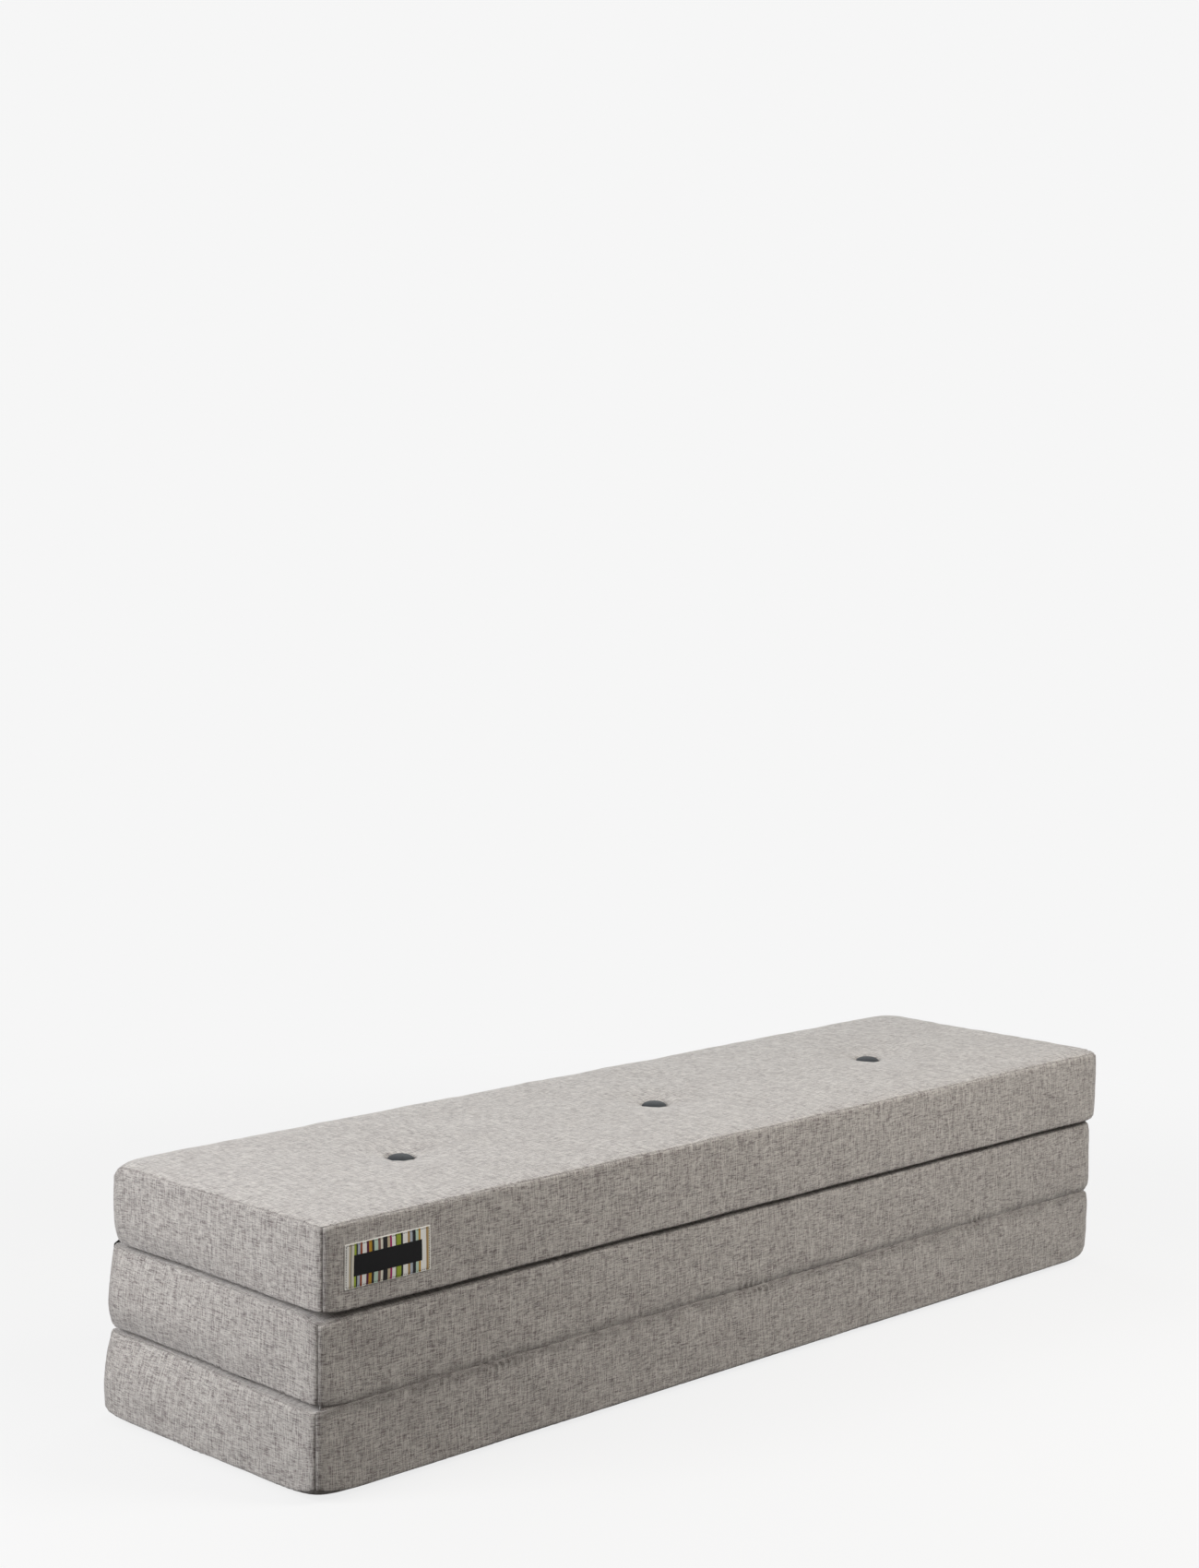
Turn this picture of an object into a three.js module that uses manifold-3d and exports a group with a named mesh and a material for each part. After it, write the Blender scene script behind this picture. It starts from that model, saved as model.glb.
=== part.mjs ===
// A folding mattress of three equal foam pads, folded in a Z into a low bench.
// Every pad is a foam block in a sewn, wadded cover that is tufted with covered buttons.
// The cover runs on from the bottom pad to the middle pad at the front, and a black tape
// joins the middle pad to the top pad at the back.
//
// Units are millimetres. X runs along the pads, Y from the front to the back, Z up.
// The origin lies on the floor under the middle of the folded stack.

import * as THREE from 'three';
import { mergeVertices } from 'three/addons/utils/BufferGeometryUtils.js';
import Module from 'manifold-3d';

const wasm = await Module();
wasm.setup();

// One pad.
const padLength = 1400;
const padWidth = 400;
const padThickness = 100;
const planCornerRadius = 24;

// How the three pads lie on each other, a little askew.
const padShifts = {
  bottom: { x: -2.75, y: 1.5 },
  middle: { x: 2.75, y: 4 },
  top: { x: 2.75, y: -4 },
};

// The cover: cloth with the wadding sewn to it.
const coverDepth = 8;
const seamTurn = 1;

// The crown of a face. It rises from its seam over the width of the shoulder.
const shoulderWidth = 34;
const seamDrop = 6.5;
const foldSeamDrop = 2;
const shoulderPower = 2.5;

// The seams are drawn in behind the bulge of the sides, and the corners a little more.
const seamInset = 2.5;
const cornerInset = 4;
const cornerDrop = 3.5;

// Tufts and their buttons.
const buttonSpacing = 422;
const buttonRadius = 15.5;
const buttonRimHeight = 1.8;
const buttonHeight = 6.5;
const tuftDepth = 12.5;
const tuftRadius = 40;
const tuftSeatMargin = 1;
const twineRadius = 1.2;

// The tape of the back fold.
const tapeThickness = 1.2;
const tapeGrip = 20;
const tapeEndMargin = 22;

// The label near the front left corner of the top pad.
const labelLength = 119;
const labelHeight = 49;
const labelThickness = 0.8;
const labelEndMargin = 29;
const patchLength = 94;
const patchHeight = 23;
const patchThickness = 0.6;

// Clearance between sewn or touching pieces, and the overrun of every cutter.
const fitGap = 0.3;
const overrun = 20;

// How finely the soft forms are divided.
const cornerSteps = 4;
const longEdgeSteps = 4;
const shortEdgeSteps = 2;
const sideSteps = 4;
const tuftSteps = 12;
const buttonSteps = 12;
const twineSteps = 8;

// Shares of the shoulder's width and of a tuft's slope at which the surface has a ring.
const shoulderShares = [0, 0.12, 0.4, 1];
const tuftShares = [0, 0.2, 0.48, 1];

// The least corner radius of an inner outline, as a share of the pad's corner radius.
const innerCornerShare = 0.2;

// Points of a button's section: shares of its radius, and of its dome above the rim.
const buttonRadiusShares = [0.94, 0.74, 0.42];
const buttonDomeShares = [0.42, 0.78, 0.96];
const buttonBackShare = 0.9;

const padPitch = padThickness + fitGap;
const quarterTurn = Math.PI / 2;
const buttonPlaces = { left: -buttonSpacing, centre: 0, right: buttonSpacing };

const palette = {
  cover: new THREE.MeshStandardMaterial({ color: 0xb3aca6, roughness: 0.95, metalness: 0 }),
  coverSide: new THREE.MeshStandardMaterial({ color: 0xa69f99, roughness: 0.95, metalness: 0 }),
  foam: new THREE.MeshStandardMaterial({ color: 0xe9e4d2, roughness: 0.9, metalness: 0 }),
  button: new THREE.MeshStandardMaterial({ color: 0x23272c, roughness: 0.8, metalness: 0 }),
  twine: new THREE.MeshStandardMaterial({ color: 0x3a3d42, roughness: 0.8, metalness: 0 }),
  tape: new THREE.MeshStandardMaterial({ color: 0x141416, roughness: 0.85, metalness: 0 }),
  label: new THREE.MeshStandardMaterial({ color: 0xded8c8, roughness: 0.8, metalness: 0 }),
  patch: new THREE.MeshStandardMaterial({ color: 0x111214, roughness: 0.7, metalness: 0 }),
};

// Makes a solid of a closed geometry.
function solidOf(geometry) {
  const bare = geometry.index ? geometry.clone() : geometry;
  bare.deleteAttribute('normal');
  bare.deleteAttribute('uv');
  const merged = mergeVertices(bare);
  return new wasm.Manifold(new wasm.Mesh({
    numProp: 3,
    vertProperties: new Float32Array(merged.attributes.position.array),
    triVerts: new Uint32Array(merged.index.array),
  }));
}

// Turns a solid back into a geometry.
function geometryOf(solid) {
  const mesh = solid.getMesh();
  const geometry = new THREE.BufferGeometry();
  geometry.setAttribute('position', new THREE.BufferAttribute(new Float32Array(mesh.vertProperties), 3));
  geometry.setIndex(new THREE.BufferAttribute(new Uint32Array(mesh.triVerts), 1));
  return geometry;
}

function block(low, high) {
  const size = new THREE.Vector3().subVectors(high, low);
  const geometry = new THREE.BoxGeometry(size.x, size.y, size.z);
  geometry.translate(low.x + size.x / 2, low.y + size.y / 2, low.z + size.z / 2);
  return solidOf(geometry);
}

function prism(points, bottom, top) {
  const geometry = new THREE.ExtrudeGeometry(new THREE.Shape(points), {
    depth: top - bottom,
    bevelEnabled: false,
  });
  geometry.translate(0, 0, bottom);
  return solidOf(geometry);
}

// The outline of a pad, as stations that run anticlockwise from its right end.
// A station in a corner knows its angle, and one along an edge its share of that edge.
function outlineStations() {
  const stations = [];
  for (let corner = 0; corner < 4; corner += 1) {
    for (let step = 0; step <= cornerSteps; step += 1) {
      const share = step / cornerSteps;
      const angle = (corner + share) * quarterTurn;
      stations.push({ corner, angle, cornerness: Math.sin(share * Math.PI) });
    }
    const edgeSteps = corner % 2 === 0 ? longEdgeSteps : shortEdgeSteps;
    for (let step = 1; step < edgeSteps; step += 1) {
      const angle = (corner + 1) * quarterTurn;
      stations.push({ corner, angle, along: step / edgeSteps, cornerness: 0 });
    }
  }
  for (const station of stations) {
    station.frontness = Math.max(0, -Math.sin(station.angle)) ** 2;
  }
  return stations;
}

const stations = outlineStations();

// A point of the corner arc, for an outline that lies the inset inside the pad's own.
function arcPoint(corner, angle, inset) {
  const radius = Math.max(planCornerRadius - inset, planCornerRadius * innerCornerShare);
  const signX = corner === 0 || corner === 3 ? 1 : -1;
  const signY = corner < 2 ? 1 : -1;
  return new THREE.Vector2(
    signX * (padLength / 2 - inset - radius) + radius * Math.cos(angle),
    signY * (padWidth / 2 - inset - radius) + radius * Math.sin(angle),
  );
}

function outlinePoint(station, inset) {
  const start = arcPoint(station.corner, station.angle, inset);
  if (station.along === undefined) return start;
  const end = arcPoint((station.corner + 1) % 4, station.angle, inset);
  return start.lerp(end, station.along);
}

// The outline of the foam block, or of the space for it that has some clearance round the block.
function foamOutline(clearance) {
  return stations.filter((station) => station.along === undefined)
    .map((station) => outlinePoint(station, coverDepth + cornerInset * station.cornerness - clearance));
}

// Collects rings of vertices and the triangles between them.
class Surface {
  constructor() {
    this.positions = [];
    this.triangles = [];
  }

  ring(points) {
    return points.map((point) => {
      this.positions.push(point.x, point.y, point.z);
      return this.positions.length / 3 - 1;
    });
  }

  // Joins two rings. Seen from outside, the first lies below or outside the second.
  stitch(first, second) {
    first.forEach((index, i) => {
      const next = (i + 1) % first.length;
      this.triangles.push(index, first[next], second[next], index, second[next], second[i]);
    });
  }

  // Joins a run of rings that lead inwards over a face. Faces is 1 at the top and -1 below.
  slope(rings, faces) {
    for (let i = 1; i < rings.length; i += 1) {
      if (faces > 0) this.stitch(rings[i - 1], rings[i]);
      else this.stitch(rings[i], rings[i - 1]);
    }
  }

  // Closes a ring, or the space between a ring and the rings in it, with a flat face.
  fill(ring, holes, faces) {
    const flat = (index) => new THREE.Vector2(this.positions[3 * index], this.positions[3 * index + 1]);
    const indices = [ring, ...holes].flat();
    const cells = THREE.ShapeUtils.triangulateShape(ring.map(flat), holes.map((hole) => hole.map(flat)));
    for (const cell of cells) {
      const [a, b, c] = cell.map((i) => indices[i]);
      const turn = flat(b).sub(flat(a)).cross(flat(c).sub(flat(a)));
      if (turn * faces > 0) this.triangles.push(a, b, c);
      else this.triangles.push(a, c, b);
    }
  }

  solid() {
    const geometry = new THREE.BufferGeometry();
    geometry.setAttribute('position', new THREE.Float32BufferAttribute(this.positions, 3));
    geometry.setIndex(this.triangles);
    return solidOf(geometry);
  }
}

// How far the seam lies below a face at a station. The cover crosses a fold with less of a dip.
function dropAt(station, folds) {
  const fold = folds ? station.frontness : 0;
  const drop = seamDrop + (foldSeamDrop - seamDrop) * fold;
  return drop + cornerDrop * station.cornerness * (1 - fold);
}

// A ring of the shoulder, a share of its width in from the seam. Faces is 1 at the top, -1 below.
function shoulderRing(share, faces, folds) {
  return stations.map((station) => {
    const inset = seamInset + shoulderWidth * share + cornerInset * station.cornerness * (1 - share);
    const point = outlinePoint(station, inset);
    const dip = dropAt(station, folds) * (1 - share) ** shoulderPower;
    return new THREE.Vector3(point.x, point.y, faces > 0 ? padThickness - dip : dip);
  });
}

// A ring round the sides, a share of the way up from the lower seam to the upper one.
function sideRing(share, foldsBelow, foldsAbove) {
  const draw = 1 - Math.sin(share * Math.PI);
  return stations.map((station) => {
    const point = outlinePoint(station, (seamInset + cornerInset * station.cornerness) * draw);
    const low = dropAt(station, foldsBelow);
    const high = padThickness - dropAt(station, foldsAbove);
    return new THREE.Vector3(point.x, point.y, low + (high - low) * share);
  });
}

// The rings of one tuft, from a level below the face down to its seat.
function tuftRings(place, faces, level) {
  const seatRadius = buttonRadius + tuftSeatMargin;
  return tuftShares.map((share) => {
    const radius = tuftRadius + (seatRadius - tuftRadius) * share;
    const depth = tuftDepth * share * share * (3 - 2 * share);
    const ring = [];
    for (let step = 0; step < tuftSteps; step += 1) {
      const angle = (step / tuftSteps) * 2 * Math.PI;
      const z = faces > 0 ? padThickness - level - depth : level + depth;
      ring.push(new THREE.Vector3(place + radius * Math.cos(angle), radius * Math.sin(angle), z));
    }
    return ring;
  });
}

// The whole outer form of a pad: crowned faces, bulging sides, drawn-in seams and tufts.
function padForm(foldsBelow, foldsAbove) {
  const surface = new Surface();
  for (const faces of [-1, 1]) {
    const folds = faces > 0 ? foldsAbove : foldsBelow;
    const shoulder = shoulderShares.slice(1).map((share) => surface.ring(shoulderRing(share, faces, folds)));
    const tufts = Object.values(buttonPlaces)
      .map((place) => tuftRings(place, faces, 0).map((ring) => surface.ring(ring)));
    surface.slope(shoulder, faces);
    for (const tuft of tufts) {
      surface.slope(tuft, faces);
      surface.fill(tuft.at(-1), [], faces);
    }
    surface.fill(shoulder.at(-1), tufts.map((tuft) => tuft[0]), faces);
    surface[faces > 0 ? 'upper' : 'lower'] = shoulder[0];
  }
  let below = surface.lower;
  for (let step = 0; step <= sideSteps; step += 1) {
    const ring = surface.ring(sideRing(step / sideSteps, foldsBelow, foldsAbove));
    surface.stitch(below, ring);
    below = ring;
  }
  surface.stitch(below, surface.upper);
  return surface.solid();
}

// The plan of one side of a pad, cut off at 45 degrees at the corner seams.
// A positive clearance draws it back from those seams.
function sidePlan(side, clearance) {
  const along = side === 'front' || side === 'back' ? padLength / 2 : padWidth / 2;
  const across = side === 'front' || side === 'back' ? padWidth / 2 : padLength / 2;
  const draw = clearance * Math.SQRT2;
  const points = [
    [-along - overrun + draw, -across - overrun],
    [along + overrun - draw, -across - overrun],
    [along - coverDepth - planCornerRadius - draw, -across + coverDepth + planCornerRadius],
    [-along + coverDepth + planCornerRadius + draw, -across + coverDepth + planCornerRadius],
  ];
  const turns = { front: 0, right: 1, back: 2, left: 3 };
  const centre = new THREE.Vector2(0, 0);
  return points.map(([x, y]) => new THREE.Vector2(x, y).rotateAround(centre, turns[side] * quarterTurn));
}

function wholeBlock(bottom, top) {
  return block(
    new THREE.Vector3(-padLength / 2 - overrun, -padWidth / 2 - overrun, bottom),
    new THREE.Vector3(padLength / 2 + overrun, padWidth / 2 + overrun, top),
  );
}

// The holes that the twine is drawn through.
function twineHoles() {
  return Object.values(buttonPlaces)
    .map((place) => {
      const hole = new THREE.CylinderGeometry(
        twineRadius + fitGap, twineRadius + fitGap, padThickness + 2 * overrun, twineSteps,
      );
      hole.rotateX(quarterTurn);
      hole.translate(place, 0, padThickness / 2);
      return solidOf(hole);
    })
    .reduce((all, hole) => all.add(hole));
}

// The heights of the cut between a face and the bands of the sides, above the pad's underside.
const seamLevel = seamDrop + cornerDrop + seamTurn;
const foldLevel = foldSeamDrop + seamTurn;

// The foam block, pressed in at the tufts. With a clearance it is the space that holds the block.
function foamForm(clearance) {
  const surface = new Surface();
  const level = coverDepth + fitGap - clearance;
  const rings = {};
  for (const faces of [-1, 1]) {
    const z = faces > 0 ? padThickness - level : level;
    const edge = surface.ring(foamOutline(clearance).map((point) => new THREE.Vector3(point.x, point.y, z)));
    const tufts = Object.values(buttonPlaces)
      .map((place) => tuftRings(place, faces, level).map((ring) => surface.ring(ring)));
    for (const tuft of tufts) {
      surface.slope(tuft, faces);
      surface.fill(tuft.at(-1), [], faces);
    }
    surface.fill(edge, tufts.map((tuft) => tuft[0]), faces);
    rings[faces] = edge;
  }
  surface.stitch(rings[-1], rings[1]);
  return surface.solid();
}

// One face of the cover, a layer of even depth over the foam that ends at the seams of its border.
function facePanel(form, holes, faces, folds) {
  const over = (depth) => (faces > 0 ? [padThickness - depth, padThickness + overrun] : [-overrun, depth]);
  const under = (depth) => (faces > 0 ? [-overrun, padThickness - depth] : [depth, padThickness + overrun]);
  const inner = (span) => prism(foamOutline(0), ...span);
  let zone = wholeBlock(...over(seamLevel));
  if (folds) {
    const span = under(foldLevel);
    zone = zone.subtract(prism(sidePlan('front', 0), ...span).subtract(inner(span)));
  }
  return form.intersect(zone.add(inner(over(padThickness / 2)))).subtract(foamForm(fitGap)).subtract(holes);
}

// One band of the sides, between the seams.
function sideBand(form, side, foldsBelow, foldsAbove) {
  const low = side === 'front' && foldsBelow ? foldLevel : seamLevel;
  const high = side === 'front' && foldsAbove ? foldLevel : seamLevel;
  const space = prism(sidePlan(side, fitGap), low + fitGap, padThickness - high - fitGap);
  const inside = prism(foamOutline(fitGap), -overrun, padThickness + overrun);
  return form.intersect(space.subtract(inside));
}

// A covered button: flat back, rolled rim and low dome, turned about its axis.
function buttonGeometry(faces) {
  const dome = buttonHeight - buttonRimHeight;
  const profile = [
    new THREE.Vector2(0, 0),
    new THREE.Vector2(buttonRadius * buttonBackShare, 0),
    new THREE.Vector2(buttonRadius, buttonRimHeight),
    ...buttonRadiusShares.map((share, i) => new THREE.Vector2(
      buttonRadius * share, buttonRimHeight + dome * buttonDomeShares[i],
    )),
    new THREE.Vector2(0, buttonHeight),
  ];
  const geometry = new THREE.LatheGeometry(profile, buttonSteps);
  geometry.rotateX(faces * quarterTurn);
  geometry.deleteAttribute('normal');
  geometry.deleteAttribute('uv');
  return mergeVertices(geometry);
}

function twineGeometry() {
  const length = padThickness - 2 * (tuftDepth + fitGap);
  const geometry = new THREE.CylinderGeometry(twineRadius, twineRadius, length, twineSteps);
  geometry.rotateX(quarterTurn);
  return geometry;
}

// How far the side of a pad lies behind its widest line, at a height above the pad's underside.
// It follows the flats between the rings of the side.
function sideDraw(height) {
  const share = (height - seamDrop) / (padThickness - 2 * seamDrop) * sideSteps;
  const step = Math.min(Math.max(Math.floor(share), 0), sideSteps - 1);
  const drawAt = (ring) => seamInset * (1 - Math.sin((ring / sideSteps) * Math.PI));
  const part = Math.min(Math.max(share - step, 0), 1);
  return drawAt(step) + (drawAt(step + 1) - drawAt(step)) * part;
}

// The heights at which a strip on the side bends, from its lower to its upper edge.
function stripHeights(low, high) {
  const rings = [];
  for (let step = 0; step <= sideSteps; step += 1) {
    rings.push(seamDrop + (padThickness - 2 * seamDrop) * (step / sideSteps));
  }
  return [low, ...rings.filter((height) => height > low && height < high), high];
}

// A flat strip that lies on the long side of a pad. Faces is -1 at the front and 1 at the back.
function strip(faces, start, length, low, high, lift, thickness) {
  const heights = stripHeights(low, high);
  const edge = (out) => heights.map((height) => new THREE.Vector2(
    faces * (padWidth / 2 - sideDraw(height) + out), height,
  ));
  const section = new THREE.Shape([...edge(lift), ...edge(lift + thickness).reverse()]);
  const geometry = new THREE.ExtrudeGeometry(section, { depth: length, bevelEnabled: false });
  geometry.applyMatrix4(new THREE.Matrix4().makeBasis(
    new THREE.Vector3(0, 1, 0),
    new THREE.Vector3(0, 0, 1),
    new THREE.Vector3(1, 0, 0),
  ));
  geometry.translate(start, 0, 0);
  return geometry;
}

function hingeTape(low, high) {
  const length = padLength - 2 * tapeEndMargin;
  return strip(1, -length / 2, length, low, high, fitGap, tapeThickness);
}

function addPiece(parent, name, geometry, material, z = 0, x = 0) {
  const mesh = new THREE.Mesh(geometry, material);
  mesh.name = name;
  mesh.position.set(x, 0, z);
  parent.add(mesh);
  return mesh;
}

function addTuft(pad, padName, placeName, place) {
  const seat = padThickness - tuftDepth + fitGap;
  addPiece(pad, `button_${padName}_upper_${placeName}`, buttonGeometry(1), palette.button, seat, place);
  addPiece(pad, `button_${padName}_lower_${placeName}`, buttonGeometry(-1), palette.button,
    padThickness - seat, place);
  addPiece(pad, `tuft_twine_${padName}_${placeName}`, twineGeometry(), palette.twine,
    padThickness / 2, place);
}

function buildPad(padName, level, foldsBelow, foldsAbove) {
  const pad = new THREE.Group();
  pad.position.set(padShifts[padName].x, padShifts[padName].y, level * padPitch);
  const form = padForm(foldsBelow, foldsAbove);
  const holes = twineHoles();
  addPiece(pad, `foam_core_${padName}`, geometryOf(foamForm(0).subtract(holes)), palette.foam);
  addPiece(pad, `top_panel_${padName}`, geometryOf(facePanel(form, holes, 1, foldsAbove)), palette.cover);
  addPiece(pad, `bottom_panel_${padName}`, geometryOf(facePanel(form, holes, -1, foldsBelow)), palette.cover);
  for (const side of ['front', 'back', 'left', 'right']) {
    const band = sideBand(form, side, foldsBelow, foldsAbove);
    addPiece(pad, `${side}_band_${padName}`, geometryOf(band), palette.coverSide);
  }
  for (const [placeName, place] of Object.entries(buttonPlaces)) addTuft(pad, padName, placeName, place);
  return pad;
}

function addLabel(pad) {
  const start = -padLength / 2 + labelEndMargin;
  const middle = padThickness / 2;
  const ribbon = strip(-1, start, labelLength, middle - labelHeight / 2, middle + labelHeight / 2,
    fitGap, labelThickness);
  addPiece(pad, 'label_ribbon', ribbon, palette.label);
  const patch = strip(-1, start + (labelLength - patchLength) / 2, patchLength,
    middle - patchHeight / 2, middle + patchHeight / 2, labelThickness + 2 * fitGap, patchThickness);
  addPiece(pad, 'label_patch', patch, palette.patch);
}

function buildMattress() {
  const mattress = new THREE.Group();
  const bottom = buildPad('bottom', 0, false, true);
  const middle = buildPad('middle', 1, true, false);
  const top = buildPad('top', 2, false, false);
  addPiece(middle, 'hinge_tape_lower', hingeTape(padThickness - tapeGrip, padThickness), palette.tape);
  addPiece(top, 'hinge_tape_upper', hingeTape(0, tapeGrip), palette.tape);
  addLabel(top);
  mattress.add(bottom, middle, top);
  return mattress;
}

export default buildMattress();
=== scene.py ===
"""The looks of a folding mattress: three tufted foam pads in a melange cover, folded in a Z into a low bench.

Every length is in metres. X runs along the pads, Y from the front to the back, Z up from the floor.
"""

import math
from functools import partial
from itertools import product

import bpy
import numpy as np
from bpy.props import FloatProperty, FloatVectorProperty, IntProperty, PointerProperty
from mathutils import Matrix, Vector


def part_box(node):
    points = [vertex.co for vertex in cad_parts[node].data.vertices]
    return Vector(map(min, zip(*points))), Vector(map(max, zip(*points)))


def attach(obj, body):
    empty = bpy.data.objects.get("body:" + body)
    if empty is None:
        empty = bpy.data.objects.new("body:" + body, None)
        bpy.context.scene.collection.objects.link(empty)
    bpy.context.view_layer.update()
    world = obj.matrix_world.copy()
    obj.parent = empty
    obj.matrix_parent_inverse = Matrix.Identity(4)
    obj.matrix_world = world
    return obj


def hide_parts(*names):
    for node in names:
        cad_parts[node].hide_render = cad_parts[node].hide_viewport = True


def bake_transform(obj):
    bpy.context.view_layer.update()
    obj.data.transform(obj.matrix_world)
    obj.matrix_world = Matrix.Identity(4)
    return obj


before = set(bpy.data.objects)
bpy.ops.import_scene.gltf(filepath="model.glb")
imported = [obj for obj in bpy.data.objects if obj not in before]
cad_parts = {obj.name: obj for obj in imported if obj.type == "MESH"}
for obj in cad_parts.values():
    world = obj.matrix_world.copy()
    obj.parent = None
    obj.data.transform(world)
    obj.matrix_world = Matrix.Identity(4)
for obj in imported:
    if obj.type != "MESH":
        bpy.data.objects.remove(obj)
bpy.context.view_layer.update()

bl_info = {
    "name": "Folding mattress",
    "version": (1, 0, 0),
    "blender": (4, 5, 0),
    "location": "3D View > Sidebar > Mattress",
    "description": "Builds the covers, buttons, tape and label of a three-part folding mattress",
    "category": "Object",
}

PADS = ("bottom", "middle", "top")
TUFTS = ("left", "centre", "right")
FACES = ("upper", "lower")
COVERED = ("front_band", "back_band", "left_band", "right_band", "top_panel", "bottom_panel", "foam_core")
FOLDS = {"bottom": ("upper",), "middle": ("lower",), "top": ()}
SEEDS = {"bottom": 11, "middle": 17, "top": 23}
MM = 0.001

# How strongly the ends of a pad are drawn in at their upper seam and at their lower seam.
COVERED_SHARES = {"bottom": (1.6, 0.0), "middle": (1.0, 1.0), "top": (0.0, 1.0)}
# The share of its depth that the front fold's crease has at the left end.
CREASE_START = 0.45
# How far from an edge of the plan the cloth follows that edge.
DRAW_REACH = 40 * MM
# How far the two faces at the front fold end behind the front.
FOLD_GAP = 0.8 * MM
LEAST_RADIUS = 2 * MM
LEAST_BAND = 2 * MM
# How far a tuft's even ground ends inside the button's rim, and how far it lies below the button.
TUFT_OVERLAP = 0.6 * MM
TUFT_GAP = 0.15 * MM
GRID_SAMPLES = 20001
# The twine's painted shade and painted highlight: its colour in the lay's grooves and on its strands' crests.
TWINE_TINTS = ((0.02, 0.022, 0.026), (0.06, 0.064, 0.072))
FLOOR_HALF = 30.0
# Millimetres, as the lens.
SENSOR_WIDTH = 36


# Settings

def kept(kind, scale, more, **rows):
    """Annotations of like settings, each a default to scale and a description. Its key makes its name."""
    names = {key: key.replace("_", " ").capitalize() for key in rows}
    return {key: kind(name=names[key], default=scale(default), description=text, **more)
            for key, (default, text) in rows.items()}


# Lengths are given in millimetres and kept in metres, and angles are given in degrees and kept in radians.
lengths = partial(kept, FloatProperty, lambda size: size * MM, {"unit": "LENGTH", "precision": 5})
angles = partial(kept, FloatProperty, math.radians, {"subtype": "ANGLE"})
colours = partial(kept, FloatVectorProperty, tuple, {"subtype": "COLOR", "size": 3, "min": 0, "max": 1})
places = partial(kept, FloatVectorProperty, tuple, {"size": 3, "unit": "LENGTH"})
shares = partial(kept, FloatProperty, float, {"min": 0, "max": 1})
powers = partial(kept, FloatProperty, float, {"unit": "POWER"})
numbers = partial(kept, FloatProperty, float, {})
counts = partial(kept, IntProperty, int, {})


class CoverSettings(bpy.types.PropertyGroup):
    """Sizes of the sewn covers."""

    __annotations__ = lengths(
        line_step=(4, "Widest step of the grid over the top pad"),
        hidden_step=(5, "Widest step of the grid over the two lower pads"),
        seam_step=(0.9, "Step of the grid at a seam"),
        upper_inset=(1.6, "How far the upper seams lie behind the sides"),
        upper_bow=(6, "Height over which a side turns in to its upper seam"),
        lower_inset=(2.0, "How far the lower seams lie behind the sides"),
        lower_bow=(6, "Height over which a side turns in to its lower seam"),
        top_drop=(2.0, "How far the top pad's front and left seams lie below its face"),
        top_sag=(2.5, "How much lower its front seam lies at the right end"),
        top_right_drop=(7.5, "How far its right seam lies below its face"),
        top_back_drop=(9.0, "How far its back seam lies below its face"),
        covered_drop=(0.9, "How far the lower pads' upper seams lie below their faces"),
        front_drop=(3.2, "How far the middle pad's upper front seam lies below its face"),
        front_sag=(5.0, "How much lower that seam lies beside the label's corner"),
        sag_reach=(200, "How far that sag reaches along the seam"),
        under_drop=(5.0, "How far the lower seams lie above the underside"),
        under_front_drop=(2.0, "How far the front one lies above the underside"),
        floor_drop=(7.0, "How far the lowest seams lie above the floor"),
        shoulder=(40, "Width over which a face falls to its seams"),
        under_shoulder=(55, "Width over which a covered face falls to its seams"),
        fold_inset=(2.2, "Depth of the crease of the front fold"),
        fold_drop=(0.6, "Distance of the crease's edges from the fold"),
        fold_bow=(4.5, "Height over which the bottom pad's front turns in to the crease"),
        fold_lip=(13, "Height over which the middle pad's front turns in to the crease"),
        back_inset=(10.5, "How far the left ends turn in more towards the back"),
        back_bow=(70, "Height over which they do so at the upper seam"),
        back_under_inset=(8.0, "How far they turn in at the lower seam"),
        back_under_bow=(35, "Height over which they do so at the lower seam"),
        right_inset=(9.0, "How far the right ends turn in more at their seams"),
        right_bow=(16, "Height over which they do so"),
        near_corner=(12, "Radius in plan of the corners beside the label"),
        far_corner=(34, "Radius in plan of the other corners"),
        bottom_corner=(26, "Radius in plan of the bottom pad's back left corner"),
        top_corner=(40, "Radius in plan of the top pad's back left corner"),
        corner_drop=(0.4, "How far a face is drawn in at its front corners"),
        back_corner_drop=(11.5, "How far it is drawn in at its back corners"),
        floor_corner_drop=(8.0, "How far the lowest face is drawn in at its corners"),
        floor_right_drop=(10.0, "How much further it is at its front right corner"),
        corner_reach=(26, "How far that drop reaches"),
        bulge=(0.6, "How far the sides swell at half height"),
        groove=(1.3, "Depth of the groove at a seam"),
        groove_width=(1.0, "Half width of the groove"),
        pucker=(0.45, "Height of the short puckers beside a seam"),
        drag=(0.28, "Height of the longer drag lines beside a seam"),
        swell=(0.35, "Height of the slow unevenness of the cloth"),
        # Painted shade: the half widths of the darkening painted into the cloth in a seam's groove and in the
        # front fold's crease.
        seam_shade_width=(1.1, "Half width of the dark line in a seam"),
        fold_shade_width=(7.5, "Half width of the crease's dark band"),
        tuft_dip=(7.5, "Depth of the wide hollow round a button"),
        tuft_spread=(40, "How far that hollow reaches"),
        tuft_reach=(3.0, "How far the steep pull of a button reaches"),
        tuft_fold=(0.5, "Depth of the creases that run to a button"),
    ) | numbers(
        step_growth=(0.22, "Growth of the step away from a seam"),
    ) | shares(
        # Painted shade: how far the cloth's colour is darkened in a seam's groove, partly for the seam line's
        # own dark look, and in the front fold's crease.
        seam_shade=(0.4, "How much darker the cloth is in a seam"),
        fold_shade=(0.5, "How much darker the cloth is in the front fold's crease"),
    )


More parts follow.
